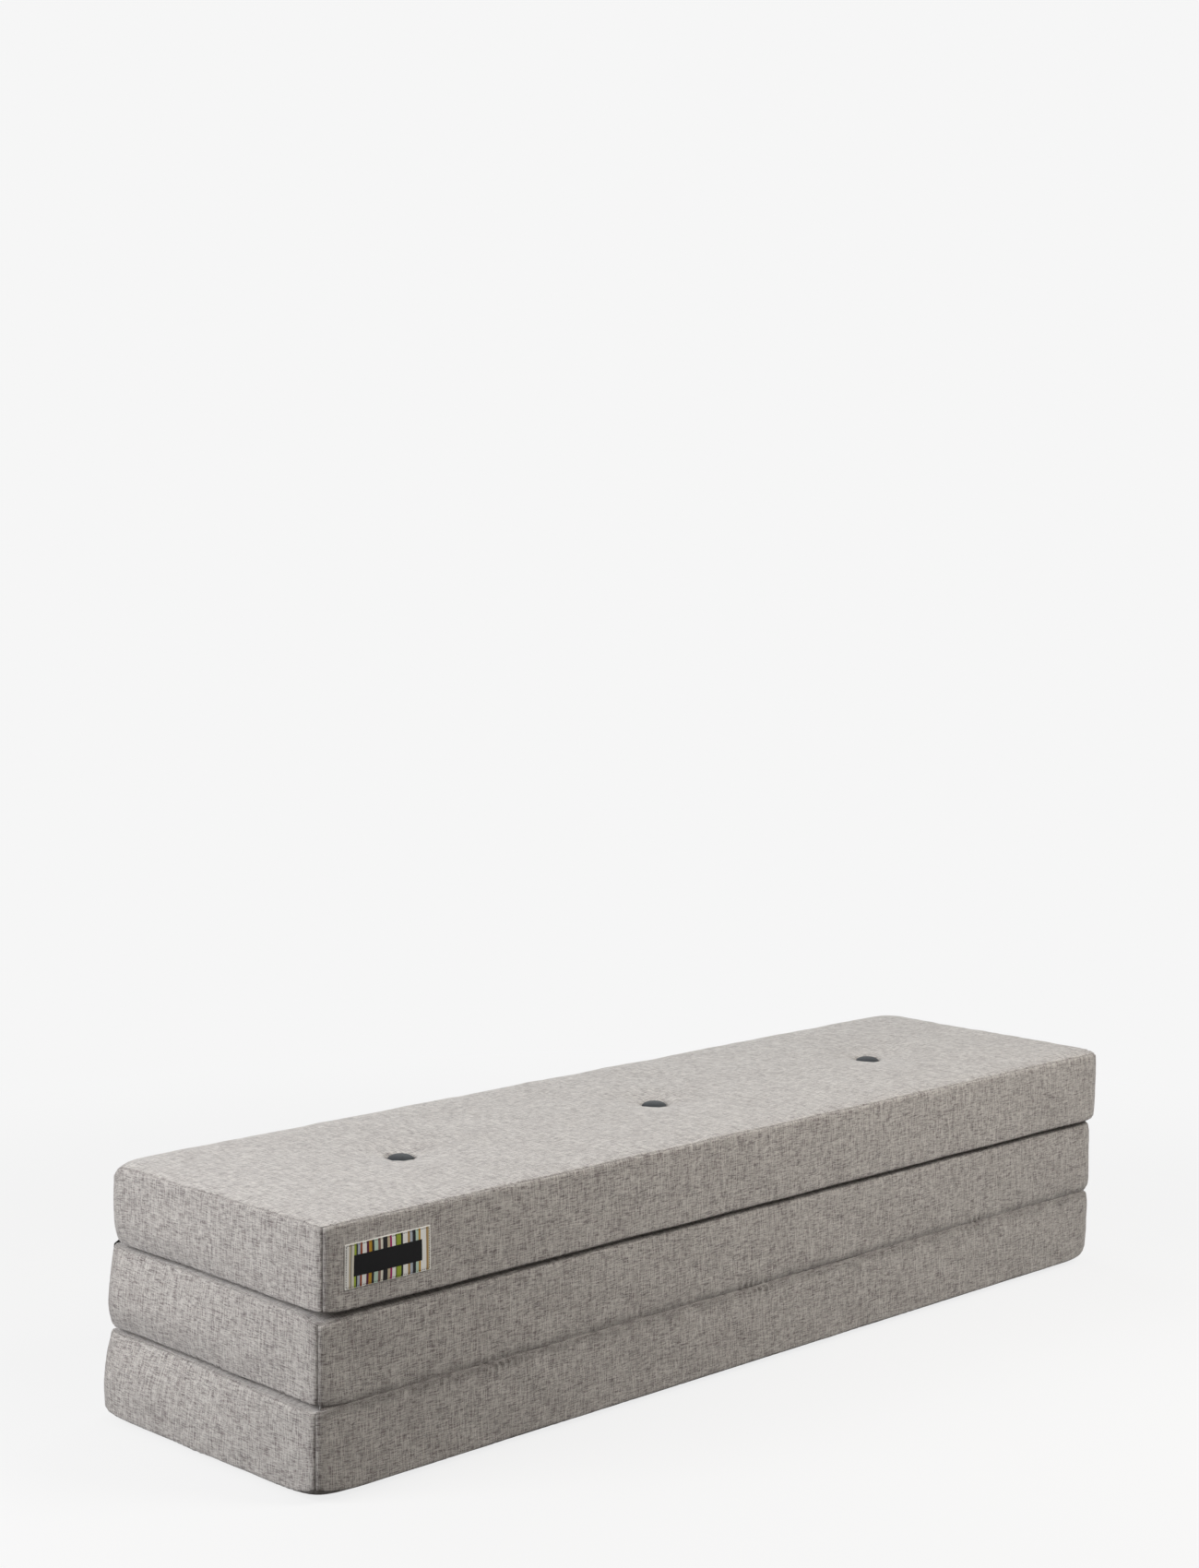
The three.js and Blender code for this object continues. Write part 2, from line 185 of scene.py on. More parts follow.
class ClothSettings(bpy.types.PropertyGroup):
    """Colours and scale of the melange cloth."""

    __annotations__ = colours(
        pale=((0.66, 0.633, 0.598), "The palest threads"),
        middle=((0.400, 0.381, 0.364), "The common threads"),
        brown=((0.24, 0.20, 0.195), "The brown threads"),
        dark=((0.10, 0.078, 0.08), "The darkest slubs"),
        # Painted shade: the colour that the cloth is mixed towards in the seams' grooves and in the front
        # fold's crease, where shadow falls.
        shaded=((0.085, 0.075, 0.07), "The cloth down in a seam or a crease"),
    ) | lengths(
        pitch=(0.85, "Distance between threads"),
        slub_length=(14, "Length of a thread's thick or dark stretches"),
        slub_width=(0.85, "Width of the thick stretches"),
        sway=(1.3, "How far the threads sway from a straight line"),
        relief=(0.4, "Height of the threads"),
    ) | shares(
        fuzz=(0.55, "How much light the cloth's fine hairs catch"),
        fuzz_roughness=(0.4, "How widely those hairs scatter it"),
    )


class ButtonSettings(bpy.types.PropertyGroup):
    """Sizes and colour of the covered buttons."""

    __annotations__ = colours(
        cloth=((0.0085, 0.0108, 0.0132), "The buttons' blue-black cloth"),
    ) | lengths(
        pitch=(0.5, "Distance between the threads of the button cloth"),
    ) | numbers(
        fullness=(1.18, "Height of the dome over that of its solid"),
    ) | counts(
        rings=(22, "Rings from the middle to the back"),
        spokes=(64, "Points round a ring"),
    )


class TapeSettings(bpy.types.PropertyGroup):
    """Sizes and colour of the black hinge tape."""

    __annotations__ = colours(
        tape=((0.0085, 0.0085, 0.009), "The black tape"),
    ) | lengths(
        lift=(0.15, "Distance of the tape's inner side from the cloth"),
        thickness=(1.0, "Thickness of the tape"),
        rib=(2.2, "Width of the tape's woven ribs"),
        column_step=(6, "Step of the grid along the tape"),
    )


class LabelSettings(bpy.types.PropertyGroup):
    """Sizes and colours of the sewn label."""

    __annotations__ = colours(
        cream=((0.95, 0.94, 0.90), "The ribbon's hem"),
        patch=((0.0045, 0.0045, 0.005), "The plain black patch"),
        thread=((0.025, 0.022, 0.02), "The dark sewing thread"),
    ) | lengths(
        hem=(0.9, "Width of the pale hem"),
        lift=(0.15, "Distance of the ribbon's back from the cloth"),
        thickness=(0.9, "Thickness of the ribbon"),
        patch_lift=(0.55, "Height of the patch above the ribbon"),
        roll=(1.1, "Width of the rolled rim"),
        grid_step=(1.0, "Step of the grid over the label"),
        thread_radius=(0.36, "Radius of the sewing thread"),
        stitch_margin=(2.2, "Distance of the stitching from the ribbon's edge"),
        stitch_pitch=(2.6, "Distance from one stitch to the next"),
    )


class StageSettings(bpy.types.PropertyGroup):
    """The floor, the light and the camera."""

    __annotations__ = colours(
        paper=((0.922, 0.922, 0.922), "The pale floor and background"),
        bounce=((0.05, 0.047, 0.044), "What the floor returns to the object"),
        sky_tint=((1.0, 0.94, 0.88), "Colour of the even light"),
    ) | shares(
        shadow=(0.12, "How much of the floor's shadow shows near the object"),
    ) | lengths(
        shadow_start=(800, "Distance from the object's middle at which the shadow begins to fade"),
        shadow_end=(1800, "Distance at which the shadow is gone"),
        lamp_size=(900, "Side of the square lamps"),
    ) | numbers(
        sky=(0.21, "Strength of the even light from all sides"),
        lens=(61.86, "Focal length in millimetres"),
    ) | powers(
        left=(30.5, "Power of the lamp at the left"),
        front_right=(30, "Power of the lamp at the front right"),
        behind=(7.5, "Power of the lamp above the back"),
    ) | places(
        camera_place=((-2.4168, -2.3364, 1.0277), "Where the camera stands"),
    ) | angles(
        camera_turn=(44.81, "Turn of the view from +Y towards +X"),
        camera_dip=(5.578, "Dip of the view below the horizon"),
        camera_roll=(0.477, "Roll of the camera"),
    )


SETTINGS = {
    "mattress_cover": CoverSettings,
    "mattress_cloth": ClothSettings,
    "mattress_button": ButtonSettings,
    "mattress_tape": TapeSettings,
    "mattress_label": LabelSettings,
    "mattress_stage": StageSettings,
}


# Shaders

def maths(operation, reflected=False):
    """A method that adds the Math node of an operation, with the value first or, reflected, last."""
    def method(value, *others):
        inputs = (*others, value) if reflected else (value, *others)
        return value.nodes.node("ShaderNodeMath", {"operation": operation}, *inputs)
    return method


class Value:
    """A socket of a node tree, so that shader maths is written as an expression."""

    __add__ = __radd__ = maths("ADD")
    __mul__ = __rmul__ = maths("MULTIPLY")
    __sub__ = maths("SUBTRACT")
    __rsub__ = maths("SUBTRACT", reflected=True)
    __truediv__ = maths("DIVIDE")
    __rtruediv__ = maths("DIVIDE", reflected=True)
    sine = maths("SINE")
    absolute = maths("ABSOLUTE")
    floor = maths("FLOOR")

    def __init__(self, nodes, socket):
        self.nodes = nodes
        self.socket = socket

    def ribs(self, pitch):
        """A sine wave over this value, with one turn for every pitch."""
        return (self * (math.tau / pitch)).sine()

    def between(self, low, high):
        """0 below low, 1 above high, and a smooth step between them."""
        settings = {"interpolation_type": "SMOOTHSTEP"}
        return self.nodes.node("ShaderNodeMapRange", settings, self, low, high, 0.0, 1.0)


class Nodes:
    """A node tree under construction."""

    def __init__(self, tree):
        self.tree = tree

    def put(self, socket, value):
        """Sets a socket to a value, or links it to one. A colour gets an alpha of 1."""
        if isinstance(value, Value):
            self.tree.links.new(value.socket, socket)
        else:
            socket.default_value = (*value, 1.0) if socket.type == "RGBA" else value

    def node(self, kind, settings=None, *values, output=0, **named):
        """Adds a node. Its settings are set first, then its sockets by order or by name."""
        node = self.tree.nodes.new(kind)
        for key, setting in (settings or {}).items():
            setattr(node, key, setting)
        for i, value in enumerate(values):
            self.put(node.inputs[i], value)
        self.fill(node, named)
        return Value(self, node.outputs[output])

    def fill(self, node, named):
        """Sets or links a node's sockets by name."""
        for key, value in named.items():
            self.put(node.inputs[key.replace("_", " ")], value)

    def ramp(self, factor, stops, interpolation="LINEAR"):
        """A colour ramp with stops, each a place and a colour."""
        made = self.node("ShaderNodeValToRGB", None, factor)
        ramp = made.socket.node.color_ramp
        ramp.interpolation = interpolation
        while len(ramp.elements) < len(stops):
            ramp.elements.new(1.0)
        for element, (place, tint) in zip(ramp.elements, stops):
            element.position = place
            element.color = (*tint, 1.0)
        return made

    def plain_view(self):
        """1 for rays from the camera, from a reflection or through clear material, and 0 for all others."""
        kinds = ("Is Camera Ray", "Is Glossy Ray", "Is Transmission Ray")
        camera, glossy, clear = (self.node("ShaderNodeLightPath", output=kind) for kind in kinds)
        return camera + glossy + clear

    def either(self, factor, first, second):
        """The mix of two shaders."""
        return self.node("ShaderNodeMixShader", None, factor, first, second)


class Shader(Nodes):
    """A material under construction, with values for its surface's sockets."""

    def __init__(self, name, **values):
        self.material = bpy.data.materials.new(name)
        self.material.use_nodes = True
        super().__init__(self.material.node_tree)
        self.surface = self.tree.nodes["Principled BSDF"]
        self.feed(**values)

    def feed(self, **values):
        """Sets or links the surface's sockets by name."""
        self.fill(self.surface, values)

    def parts(self, place):
        """The X, Y and Z of a place."""
        return [self.node("ShaderNodeSeparateXYZ", None, place, output=i) for i in range(3)]

    def cloth_place(self):
        """The two cloth coordinates of the piece's own UV map, in metres."""
        return self.parts(self.node("ShaderNodeUVMap", {"uv_map": "cloth"}))[:2]

    def object_place(self):
        """The three Object coordinates, in metres."""
        return self.parts(self.node("ShaderNodeTexCoord", output="Object"))

    def streaks(self, u, v, wide, long, detail=2.0, offset=0.0):
        """Noise from 0 to 1 with spots that are wide along u and long along v."""
        place = self.node("ShaderNodeCombineXYZ", None, u / wide + offset, v / long + offset)
        return self.node("ShaderNodeTexNoise", {"noise_dimensions": "2D"}, Vector=place, Scale=1.0,
                         Detail=detail, Roughness=0.55)

    def mix(self, factor, first, second):
        """The mix of two colours, for which the node has its inputs 0, 6 and 7 and its output 2."""
        made = self.node("ShaderNodeMix", {"data_type": "RGBA"}, factor, output=2)
        for i, tint in ((6, first), (7, second)):
            self.put(made.socket.node.inputs[i], tint)
        return made

    def two_tone(self, factor, tint, gain):
        """Feeds the base colour: a tint, and that tint times a gain where the factor is 1."""
        self.feed(Base_Color=self.mix(factor, tint, [c * gain for c in tint]))

    def bump(self, height, distance, strength=1.0):
        """Feeds the normal a bump whose height is a share of a distance in metres."""
        bump = self.node("ShaderNodeBump", None, Strength=strength, Distance=distance, Height=height)
        self.feed(Normal=bump)


def plain_weave(u, v, pitch):
    """Which thread lies on top, 1 for the warp and 0 for the weft, and the round height of that thread.

    The threads cross at every pitch. The warp is on top where the product of two sine waves is positive.
    """
    across, along = u.ribs(2 * pitch), v.ribs(2 * pitch)
    on_top = (across * along).between(-0.25, 0.25)
    return on_top, on_top * across.absolute() + (1 - on_top) * along.absolute()


# How far apart two threads that lie side by side are in the noise.
THREAD_STRIDE = 7.31
# The noise levels that get the threads' colours.
TONES = ((0.345, "brown"), (0.475, "middle"), (0.60, "pale"))
# The threads' thick stretches: seed, colour, share in the warp, share in the weft, and rise.
SLUBS = ((21.7, "dark", 0.26, 0.58, -0.3), (41.3, "pale", 0.62, 0.46, 0.5))


def melange_cloth():
    """The grey-brown cloth: plain weave of threads whose colour and thickness change along their length.

    The noise is even across each thread and changes along it, so that each has its own stretches.
    """
    s = bpy.context.scene.mattress_cloth
    shader = Shader("melange_cloth", Roughness=0.92, Sheen_Weight=s.fuzz, Sheen_Roughness=s.fuzz_roughness)
    u, v = shader.cloth_place()
    sway = (shader.streaks(u, v, 0.09, 0.09, detail=0.0) - 0.5) * s.sway
    bent_u, bent_v = u + sway, v + sway

    def threads(pitch, warp_length, weft_length, warp_seed, weft_seed):
        """The noise of the warp threads and of the weft threads."""
        for across, along, stretch, seed in ((bent_u, bent_v, warp_length, warp_seed),
                                             (bent_v, bent_u, weft_length, weft_seed)):
            number = (across / pitch).floor()
            yield shader.streaks(number, along, 1 / THREAD_STRIDE, stretch, detail=1.0, offset=seed)

    on_top, height = plain_weave(bent_u, bent_v, s.pitch)
    warp, weft = threads(s.pitch, s.slub_length, s.slub_length * 0.9, 0.37, 7.61)
    tone = on_top * warp + (1 - on_top) * weft
    tint = shader.ramp(tone, [(level, getattr(s, name)) for level, name in TONES])
    height = height * 0.3 + tone * 0.5
    for seed, name, in_warp, in_weft, rise in SLUBS:
        warp, weft = threads(s.slub_width, s.slub_length * 1.5, s.slub_length, seed, seed + 9.4)
        slub = warp.between(0.55, 0.66) * in_warp + weft.between(0.55, 0.66) * in_weft
        tint = shader.mix(slub, tint, getattr(s, name))
        height = height + slub * rise
    clouds = shader.streaks(u, v, 0.05, 0.07, offset=3.9)
    tint = shader.mix(clouds.between(0.3, 0.8) * 0.1, tint, s.brown)
    # Painted shade: the cloth is mixed towards the shade colour by the per-point attribute, in the seams'
    # grooves and the front fold's crease.
    shade = shader.node("ShaderNodeAttribute", {"attribute_name": "shade"}, output="Fac")
    shader.feed(Base_Color=shader.mix(shade, tint, s.shaded))
    shader.bump(height, s.relief)
    return shader.material


def button_cloth():
    """Fine blue-black cloth, drawn tight over the button."""
    s = bpy.context.scene.mattress_button
    shader = Shader("button_cloth", Roughness=0.7, Sheen_Weight=0.04)
    x, y, _ = shader.object_place()
    on_top, height = plain_weave(x, y, s.pitch)
    grain = shader.streaks(x, y, 0.004, 0.004)
    shader.two_tone(grain.between(0.3, 0.75) * 0.6 + on_top * 0.2, s.cloth, 1.9)
    shader.bump(height, 0.12 * MM, strength=0.5)
    return shader.material


def black_tape():
    """Black tape, woven in slanting ribs."""
    s = bpy.context.scene.mattress_tape
    shader = Shader("black_tape", Roughness=0.8, Sheen_Weight=0.1)
    u, v = shader.cloth_place()
    ribs = (u + v.ribs(8 * s.rib).absolute() * s.rib).ribs(s.rib)
    grain = shader.streaks(u, v, 0.002, 0.01)
    # Partly the tape's own uneven tone and partly painted highlight: the ribs' crests are lighter.
    shader.two_tone(grain * 0.5 + ribs.between(-0.2, 0.9) * 0.5, s.tape, 2.6)
    shader.bump(ribs * 0.4 + v.ribs(0.7 * MM) * 0.2, 0.3 * MM, strength=0.6)
    return shader.material


def wound_thread(name, dark, light, pitch, slant, relief):
    """Thread or twine with its strands wound round each other, as sine waves along a slanting line."""
    shader = Shader(name, Roughness=0.6)
    x, y, z = shader.object_place()
    lay = (x + z + y * slant).ribs(pitch)
    # Painted highlight and painted shade: each strand is light on its crest and dark in the lay's grooves.
    shader.feed(Base_Color=shader.mix(lay.between(-1.0, 1.0), dark, light))
    shader.bump(lay, relief)
    return shader.material


# The ribbon's stripes, from left to right: a width in millimetres and a colour as sRGB levels.
STRIPE_TINTS = {
    "cream": (236, 232, 218), "white": (250, 250, 247), "sand": (203, 190, 160), "black": (22, 21, 23),
    "mint": (196, 220, 205), "lime": (158, 178, 62), "grey": (150, 151, 150), "ochre": (196, 152, 52),
    "rust": (150, 70, 38), "plum": (84, 30, 56), "magenta": (168, 44, 104), "mauve": (128, 98, 92),
    "olive": (104, 110, 46), "mist": (186, 194, 204), "tan": (176, 146, 100),
}
STRIPES = (
    (3.0, "white"), (1.6, "sand"), (1.2, "grey"), (2.4, "cream"), (2.0, "lime"), (1.2, "black"),
    (3.0, "mist"), (2.0, "rust"), (4.6, "white"), (2.4, "plum"), (3.0, "ochre"), (2.4, "black"),
    (4.2, "mint"), (2.6, "mauve"), (2.4, "cream"), (5.0, "black"), (2.8, "sand"), (2.0, "magenta"),
    (3.8, "white"), (1.4, "olive"), (4.6, "lime"), (2.0, "black"), (5.2, "white"), (2.2, "tan"),
    (3.0, "mist"), (3.4, "black"), (3.0, "mint"), (2.0, "ochre"), (6.4, "white"), (2.0, "tan"),
    (1.6, "sand"),
)


def linear(levels):
    """A colour of sRGB levels from 0 to 255 as linear values."""
    values = np.array(levels) / 255
    light = np.where(values <= 0.04045, values / 12.92, ((values + 0.055) / 1.055) ** 2.4)
    return tuple(float(x) for x in light)


def striped_ribbon(wide, tall):
    """Ribbon with upright woven stripes, set along it by a colour ramp, and a pale hem all round."""
    s = bpy.context.scene.mattress_label
    shader = Shader("striped_ribbon", Roughness=0.8, Specular_IOR_Level=0.3)
    u, v = shader.cloth_place()
    starts = np.cumsum([0.0] + [width for width, _ in STRIPES])
    stops = [(start / starts[-1], linear(STRIPE_TINTS[tint])) for start, (_, tint) in zip(starts, STRIPES)]
    tint = shader.ramp((u - 2 * MM) / (wide - 4 * MM), [*stops, (1.0, s.cream)], "CONSTANT")
    _, height = plain_weave(u, v, 0.36 * MM)
    # Painted shade: the ribbon is up to 8% darker where its threads dip between crossings.
    tint = shader.mix(0.08 * (1 - height), tint, (0.05, 0.05, 0.05))
    for place, span, hem in ((v, tall, s.hem), (u, wide, s.hem * 2)):
        edge = (place - span / 2).absolute().between(span / 2 - hem * 1.1, span / 2 - hem * 0.9)
        tint = shader.mix(edge, tint, s.cream)
    shader.feed(Base_Color=tint)
    shader.bump(height, 0.1 * MM, strength=0.5)
    return shader.material


def black_patch():
    """Plain black patch with a satin rib along its length."""
    s = bpy.context.scene.mattress_label
    shader = Shader("black_patch", Roughness=0.85, Specular_IOR_Level=0.2)
    u, v = shader.cloth_place()
    ribs = v.ribs(0.5 * MM)
    grain = shader.streaks(u, v, 0.003, 0.0012)
    # Partly the patch's own uneven tone and partly painted sheen: the satin ribs' crests are lighter.
    shader.two_tone(grain * 0.6 + ribs.between(-1.0, 1.0) * 0.3, s.patch, 2.2)
    shader.bump(ribs, 0.08 * MM, strength=0.5)
    return shader.material


# Surfaces

def smooth(q):
    """Smooth step from 0 to 1 as q goes from 0 to 1."""
    q = np.clip(q, 0, 1)
    return q * q * (3 - 2 * q)


def falls(q, power):
    """1 at a seam, 0 from a full width away, falling by a power of what is left."""
    return (1 - np.clip(q, 0, 1)) ** power


def bell(q):
    """Bell curve: the exponential of less the square of q."""
    return np.exp(-q ** 2)


def grid_lines(low, high, widest, closest, growth, centres=(), centre_step=0.0014, centre_reach=0.024):
    """Lines from low to high: closest at the ends, growing to the widest step, and close at the centres.

    The step is a function of place. Its reciprocal is summed up, and equal parts of that sum are the lines.
    """
    place = np.linspace(low, high, GRID_SAMPLES)
    step = np.minimum(closest + growth * np.minimum(place - low, high - place), widest)
    for centre in centres:
        away = np.maximum(np.abs(place - centre) - centre_reach, 0)
        step = np.minimum(step, centre_step + 0.1 * away)
    count = np.concatenate([[0], np.cumsum((1 / step[1:] + 1 / step[:-1]) / 2 * np.diff(place))])
    return np.interp(np.linspace(0, count[-1], int(round(count[-1])) + 1), count, place)


def cell(lines, place):
    """Which gap between rising lines a place lies in, and how far along that gap, from 0 to 1."""
    i = np.clip(np.searchsorted(lines, place) - 1, 0, len(lines) - 2)
    return i, np.clip((place - lines[i]) / (lines[i + 1] - lines[i]), 0, 1)


def waves(rng, u, shortest, longest, count, v=None):
    """Sum of sine waves over u, or of plane ones over u and v, whose mean square is 1.

    Their lengths, their phases and, over u and v, their directions are random.
    """
    sizes = rng.uniform(shortest, longest, count)
    turns = np.zeros(count) if v is None else rng.uniform(0, np.pi, count)
    v = 0 if v is None else v
    total = np.zeros_like(u)
    for size, turn, phase in zip(sizes, turns, rng.uniform(0, 2 * np.pi, count)):
        total += np.sin(2 * np.pi * (u * math.cos(turn) + v * math.sin(turn)) / size + phase)
    return total * math.sqrt(2 / count)


def quads_of(sheet):
    """The quads of a grid of vertex numbers, turning from its first index towards its second."""
    return np.stack([sheet[:-1, :-1], sheet[1:, :-1], sheet[1:, 1:], sheet[:-1, 1:]], -1).reshape(-1, 4)


def corner_normals(points, quads):
    """Vertex normals: cross products of the quads' diagonals, summed at their corners and made unit long."""
    across = points[quads[:, 2]] - points[quads[:, 0]]
    along = points[quads[:, 3]] - points[quads[:, 1]]
    facing = np.cross(across, along)
    total = np.zeros_like(points)
    for corner in range(4):
        np.add.at(total, quads[:, corner], facing)
    return total / np.maximum(np.linalg.norm(total, axis=1, keepdims=True), 1e-12)


def faced_out(points, quads):
    """The points and the quads, which are turned over if they enclose a negative volume."""
    a, b, c, d = (points[quads[:, i]] for i in range(4))
    volume = (a * np.cross(b, c)).sum() + (a * np.cross(c, d)).sum()
    return points, quads if volume > 0 else quads[:, ::-1]


def closed_slab(front, back):
    """A thin slab between two grids of points of one shape, with its rim closed."""
    rows, columns = front.shape[:2]
    first = np.arange(rows * columns).reshape(rows, columns)
    second = first + rows * columns
    rim = ((first[:, 0], second[:, 0]), (second[:, -1], first[:, -1]),
           (second[0], first[0]), (first[-1], second[-1]))
    sides = [np.stack([a[:-1], b[:-1], b[1:], a[1:]], -1) for a, b in rim]
    quads = np.concatenate([quads_of(first), quads_of(second)[:, ::-1], *sides])
    return faced_out(np.concatenate([front.reshape(-1, 3), back.reshape(-1, 3)]), quads)


def rings(count, spokes):
    """The vertex numbers of a tube's rings, and its quads."""
    number = np.arange(count * spokes).reshape(count, spokes)
    return number, quads_of(np.concatenate([number, number[:, :1]], 1))


def add_piece(name, points, quads, material, cloth_uv=None, shade=None):
    """Makes an object of points and quads, with its cloth coordinates per corner and its painted shade per
    point.
    """
    mesh = bpy.data.meshes.new(name)
    mesh.from_pydata(points.tolist(), [], quads.tolist())
    if shade is not None:
        mesh.attributes.new("shade", "FLOAT", "POINT").data.foreach_set("value", shade.astype(np.float32))
    if cloth_uv is not None:
        mesh.uv_layers.new(name="cloth").data.foreach_set("uv", cloth_uv.astype(np.float32).ravel())
    mesh.materials.append(material)
    mesh.shade_smooth()
    mesh.update()
    piece = bpy.data.objects.new(name, mesh)
    bpy.context.scene.collection.objects.link(piece)
    return piece


class Pad:
    """One pad's place and size from its solids: centre in plan, underside, half sizes, thickness, tufts."""

    def __init__(self, name):
        self.name = name
        self.nodes = [f"{part}_{name}" for part in COVERED]
        corners = np.array([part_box(node) for node in self.nodes])
        low, high = corners[:, 0].min(0), corners[:, 1].max(0)
        self.centre = (low[:2] + high[:2]) / 2
        self.half = (high[:2] - low[:2]) / 2
        self.under, self.top = low[2], high[2]
        self.thick = self.top - self.under
        upper, lower = ([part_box(f"button_{name}_{face}_{tuft}") for tuft in TUFTS] for face in FACES)
        self.tufts = [(first[0] + last[0]) / 2 - self.centre[0] for first, last in upper]
        self.button_radius = (upper[0][1][0] - upper[0][0][0]) / 2
        self.tuft_depth = {"upper": self.top - upper[0][0][2], "lower": lower[0][1][2] - self.under}


class Shell:
    """A grid over the surface of a box, whose edges are a pad's seams.

    A face named in folds gets its own row of vertices along the front edge, between the corners, and the
    front keeps the old row, so that the front's cloth can run on to the next pad. edges holds the face's
    row.
    """

    def __init__(self, pad, widest, folds, s):
        a, b = pad.half
        grow = (s.seam_step, s.step_growth)
        lines = (grid_lines(-a, a, widest, *grow, centres=pad.tufts),
                 grid_lines(-b, b, widest, *grow, centres=(0.0,)), grid_lines(0, pad.thick, widest, *grow))
        outside = np.ones([len(line) for line in lines], bool)
        outside[1:-1, 1:-1, 1:-1] = False
        number = np.full(outside.shape, -1)
        number[outside] = np.arange(outside.sum())
        self.box = np.stack([line[i] for line, i in zip(lines, np.nonzero(outside))], 1)
        self.lifted = np.zeros(len(self.box), bool)
        self.sheets = {
            "upper": number[:, :, -1].copy(), "lower": number[:, :, 0].T.copy(),
            "front": number[:, 0, :], "back": number[:, -1, :].T,
            "right": number[-1], "left": number[0].T,
        }
        self.edges = {face: self.open_edge(face) for face in folds}
        quads = [quads_of(sheet) for sheet in self.sheets.values()]
        self.quads = np.concatenate(quads)
        self.sheet_of = np.repeat(list(self.sheets), [len(part) for part in quads])

    def open_edge(self, face):
        """Gives a face its own row along the front edge and returns that row's numbers."""
        rows = self.sheets[face] if face == "upper" else self.sheets[face].T
        old = rows[1:-1, 0].copy()
        rows[1:-1, 0] = len(self.box) + np.arange(len(old))
        self.box = np.concatenate([self.box, self.box[old]])
        self.lifted = np.concatenate([self.lifted, np.ones(len(old), bool)])
        return rows[:, 0]


def side_draw(pad, box, s, folds):
    """How far the ends and the long sides are drawn in at every point: by X and by Y.

    A side turns in to its lower seam along a quarter ellipse and to its upper seam by a power, and it
    swells by half a sine wave in between. At a fold the front turns in to the crease instead, less near the
    left end. The left ends turn in more towards the back, where the tape and the pads above draw them in,
    and so do the right ends at every covered seam. The two backs that meet when the mattress lies open
    don't swell.
    """
    x, y, up = box.T
    down, (a, b) = pad.thick - up, pad.half
    lower = s.lower_inset * (1 - np.sqrt(1 - falls(up / s.lower_bow, 1) ** 2))
    upper = s.upper_inset * falls(down / s.upper_bow, 2.2)
    bulge = s.bulge * np.sin(np.pi * np.clip(up / pad.thick, 0, 1))
    draw = lower + upper - bulge
    front, back = draw, draw if pad.name == "bottom" else draw + bulge
    along = (x + a) / (2 * a)
    crease = s.fold_inset * (CREASE_START + (1 - CREASE_START) * smooth((along - 0.12) / 0.5))
    if "upper" in folds:
        front = front - upper + crease * falls(down / s.fold_bow, 2.0)
    if "lower" in folds:
        front = front - lower + crease * falls(up / s.fold_lip, 2.0)
    share_back = smooth((y + b) / (1.6 * b))
    covered_top, covered_under = COVERED_SHARES[pad.name]
    left = (covered_top * s.back_inset * falls(down / s.back_bow, 1.6)
            + covered_under * s.back_under_inset * falls(up / s.back_under_bow, 2.0))
    right = s.right_inset * (min(covered_top, 1.0) * falls(down / s.right_bow, 1.6)
                             + covered_under * falls(up / s.right_bow, 2.0))
    ends = draw + np.where(x < 0, share_back * left, right)
    return np.stack([ends, np.where(y < 0, front, back)], 1)


def seam_drops(pad, x, s, face, folds):
    """How far a face's seams lie from the flat: at the ends, at the front and at the back.

    The top pad's front seam sags with the square of the distance from the left end, and the middle pad's sags
    towards the left end by an exponential.
    """
    from_left = x + pad.half[0]
    if face == "upper" and pad.name == "top":
        front = s.top_drop + s.top_sag * (from_left / (2 * pad.half[0])) ** 2
        return np.where(x < 0, s.top_drop, s.top_right_drop), front, s.top_back_drop
    if face == "upper":
        front, rest = s.front_drop + s.front_sag * np.exp(-from_left / s.sag_reach), s.covered_drop
    elif pad.name == "bottom":
        front = rest = s.floor_drop
    else:
        front, rest = s.under_front_drop, s.under_drop
    return rest, s.fold_drop if face in folds else front, rest


def face_drop(pad, box, s, face, folds):
    """How far a face, or the seam of its border, lies from the flat at every point.

    Each border adds its own drop, which falls off over the shoulder. The lesser of the two is taken away
    again where both meet. The corners are drawn in further.
    """
    end, side = (pad.half - np.abs(box[:, :2])).T
    right, fore = box[:, 0] > 0, box[:, 1] < 0
    at_end, front, back = seam_drops(pad, box[:, 0], s, face, folds)
    at_side = np.where(fore, front, back)
    on_floor = face == "lower" and pad.name == "bottom"
    open_face = on_floor or face == "upper" and pad.name == "top"
    shoulder = s.shoulder if open_face else s.under_shoulder
    by_end, by_side = falls(end / shoulder, 2.5), falls(side / shoulder, 2.5)
    drop = at_end * by_end + at_side * by_side - np.minimum(at_end, at_side) * by_end * by_side
    corner_drop = np.where(fore, s.corner_drop, s.back_corner_drop if open_face else s.corner_drop)
    if on_floor:
        corner_drop = s.floor_corner_drop + s.floor_right_drop * right * fore
    return drop + corner_drop * np.exp(-((end + side) / s.corner_reach) ** 1.5)


def round_corners(pad, plan, draw, box, s):
    """Rounds the plan's corners, each with its own radius.

    In the square of a corner, a coordinate is scaled by the root of 1 less half the other's square, which
    turns the square into a quarter disc.
    """
    back_left = {"bottom": s.bottom_corner, "middle": s.far_corner, "top": s.top_corner}[pad.name]
    left = np.where(box[:, 1] < 0, s.near_corner, back_left)
    radius = np.where(box[:, 0] < 0, left, s.far_corner)[:, None]
    inner = pad.half - radius
    reach = np.maximum(radius - draw, LEAST_RADIUS)
    part = np.clip((np.abs(plan) - inner) / reach, 0, 1)
    rounded = np.sign(plan) * (inner + reach * part * np.sqrt(1 - part[:, ::-1] ** 2 / 2))
    return np.where(part > 0, rounded, plan)


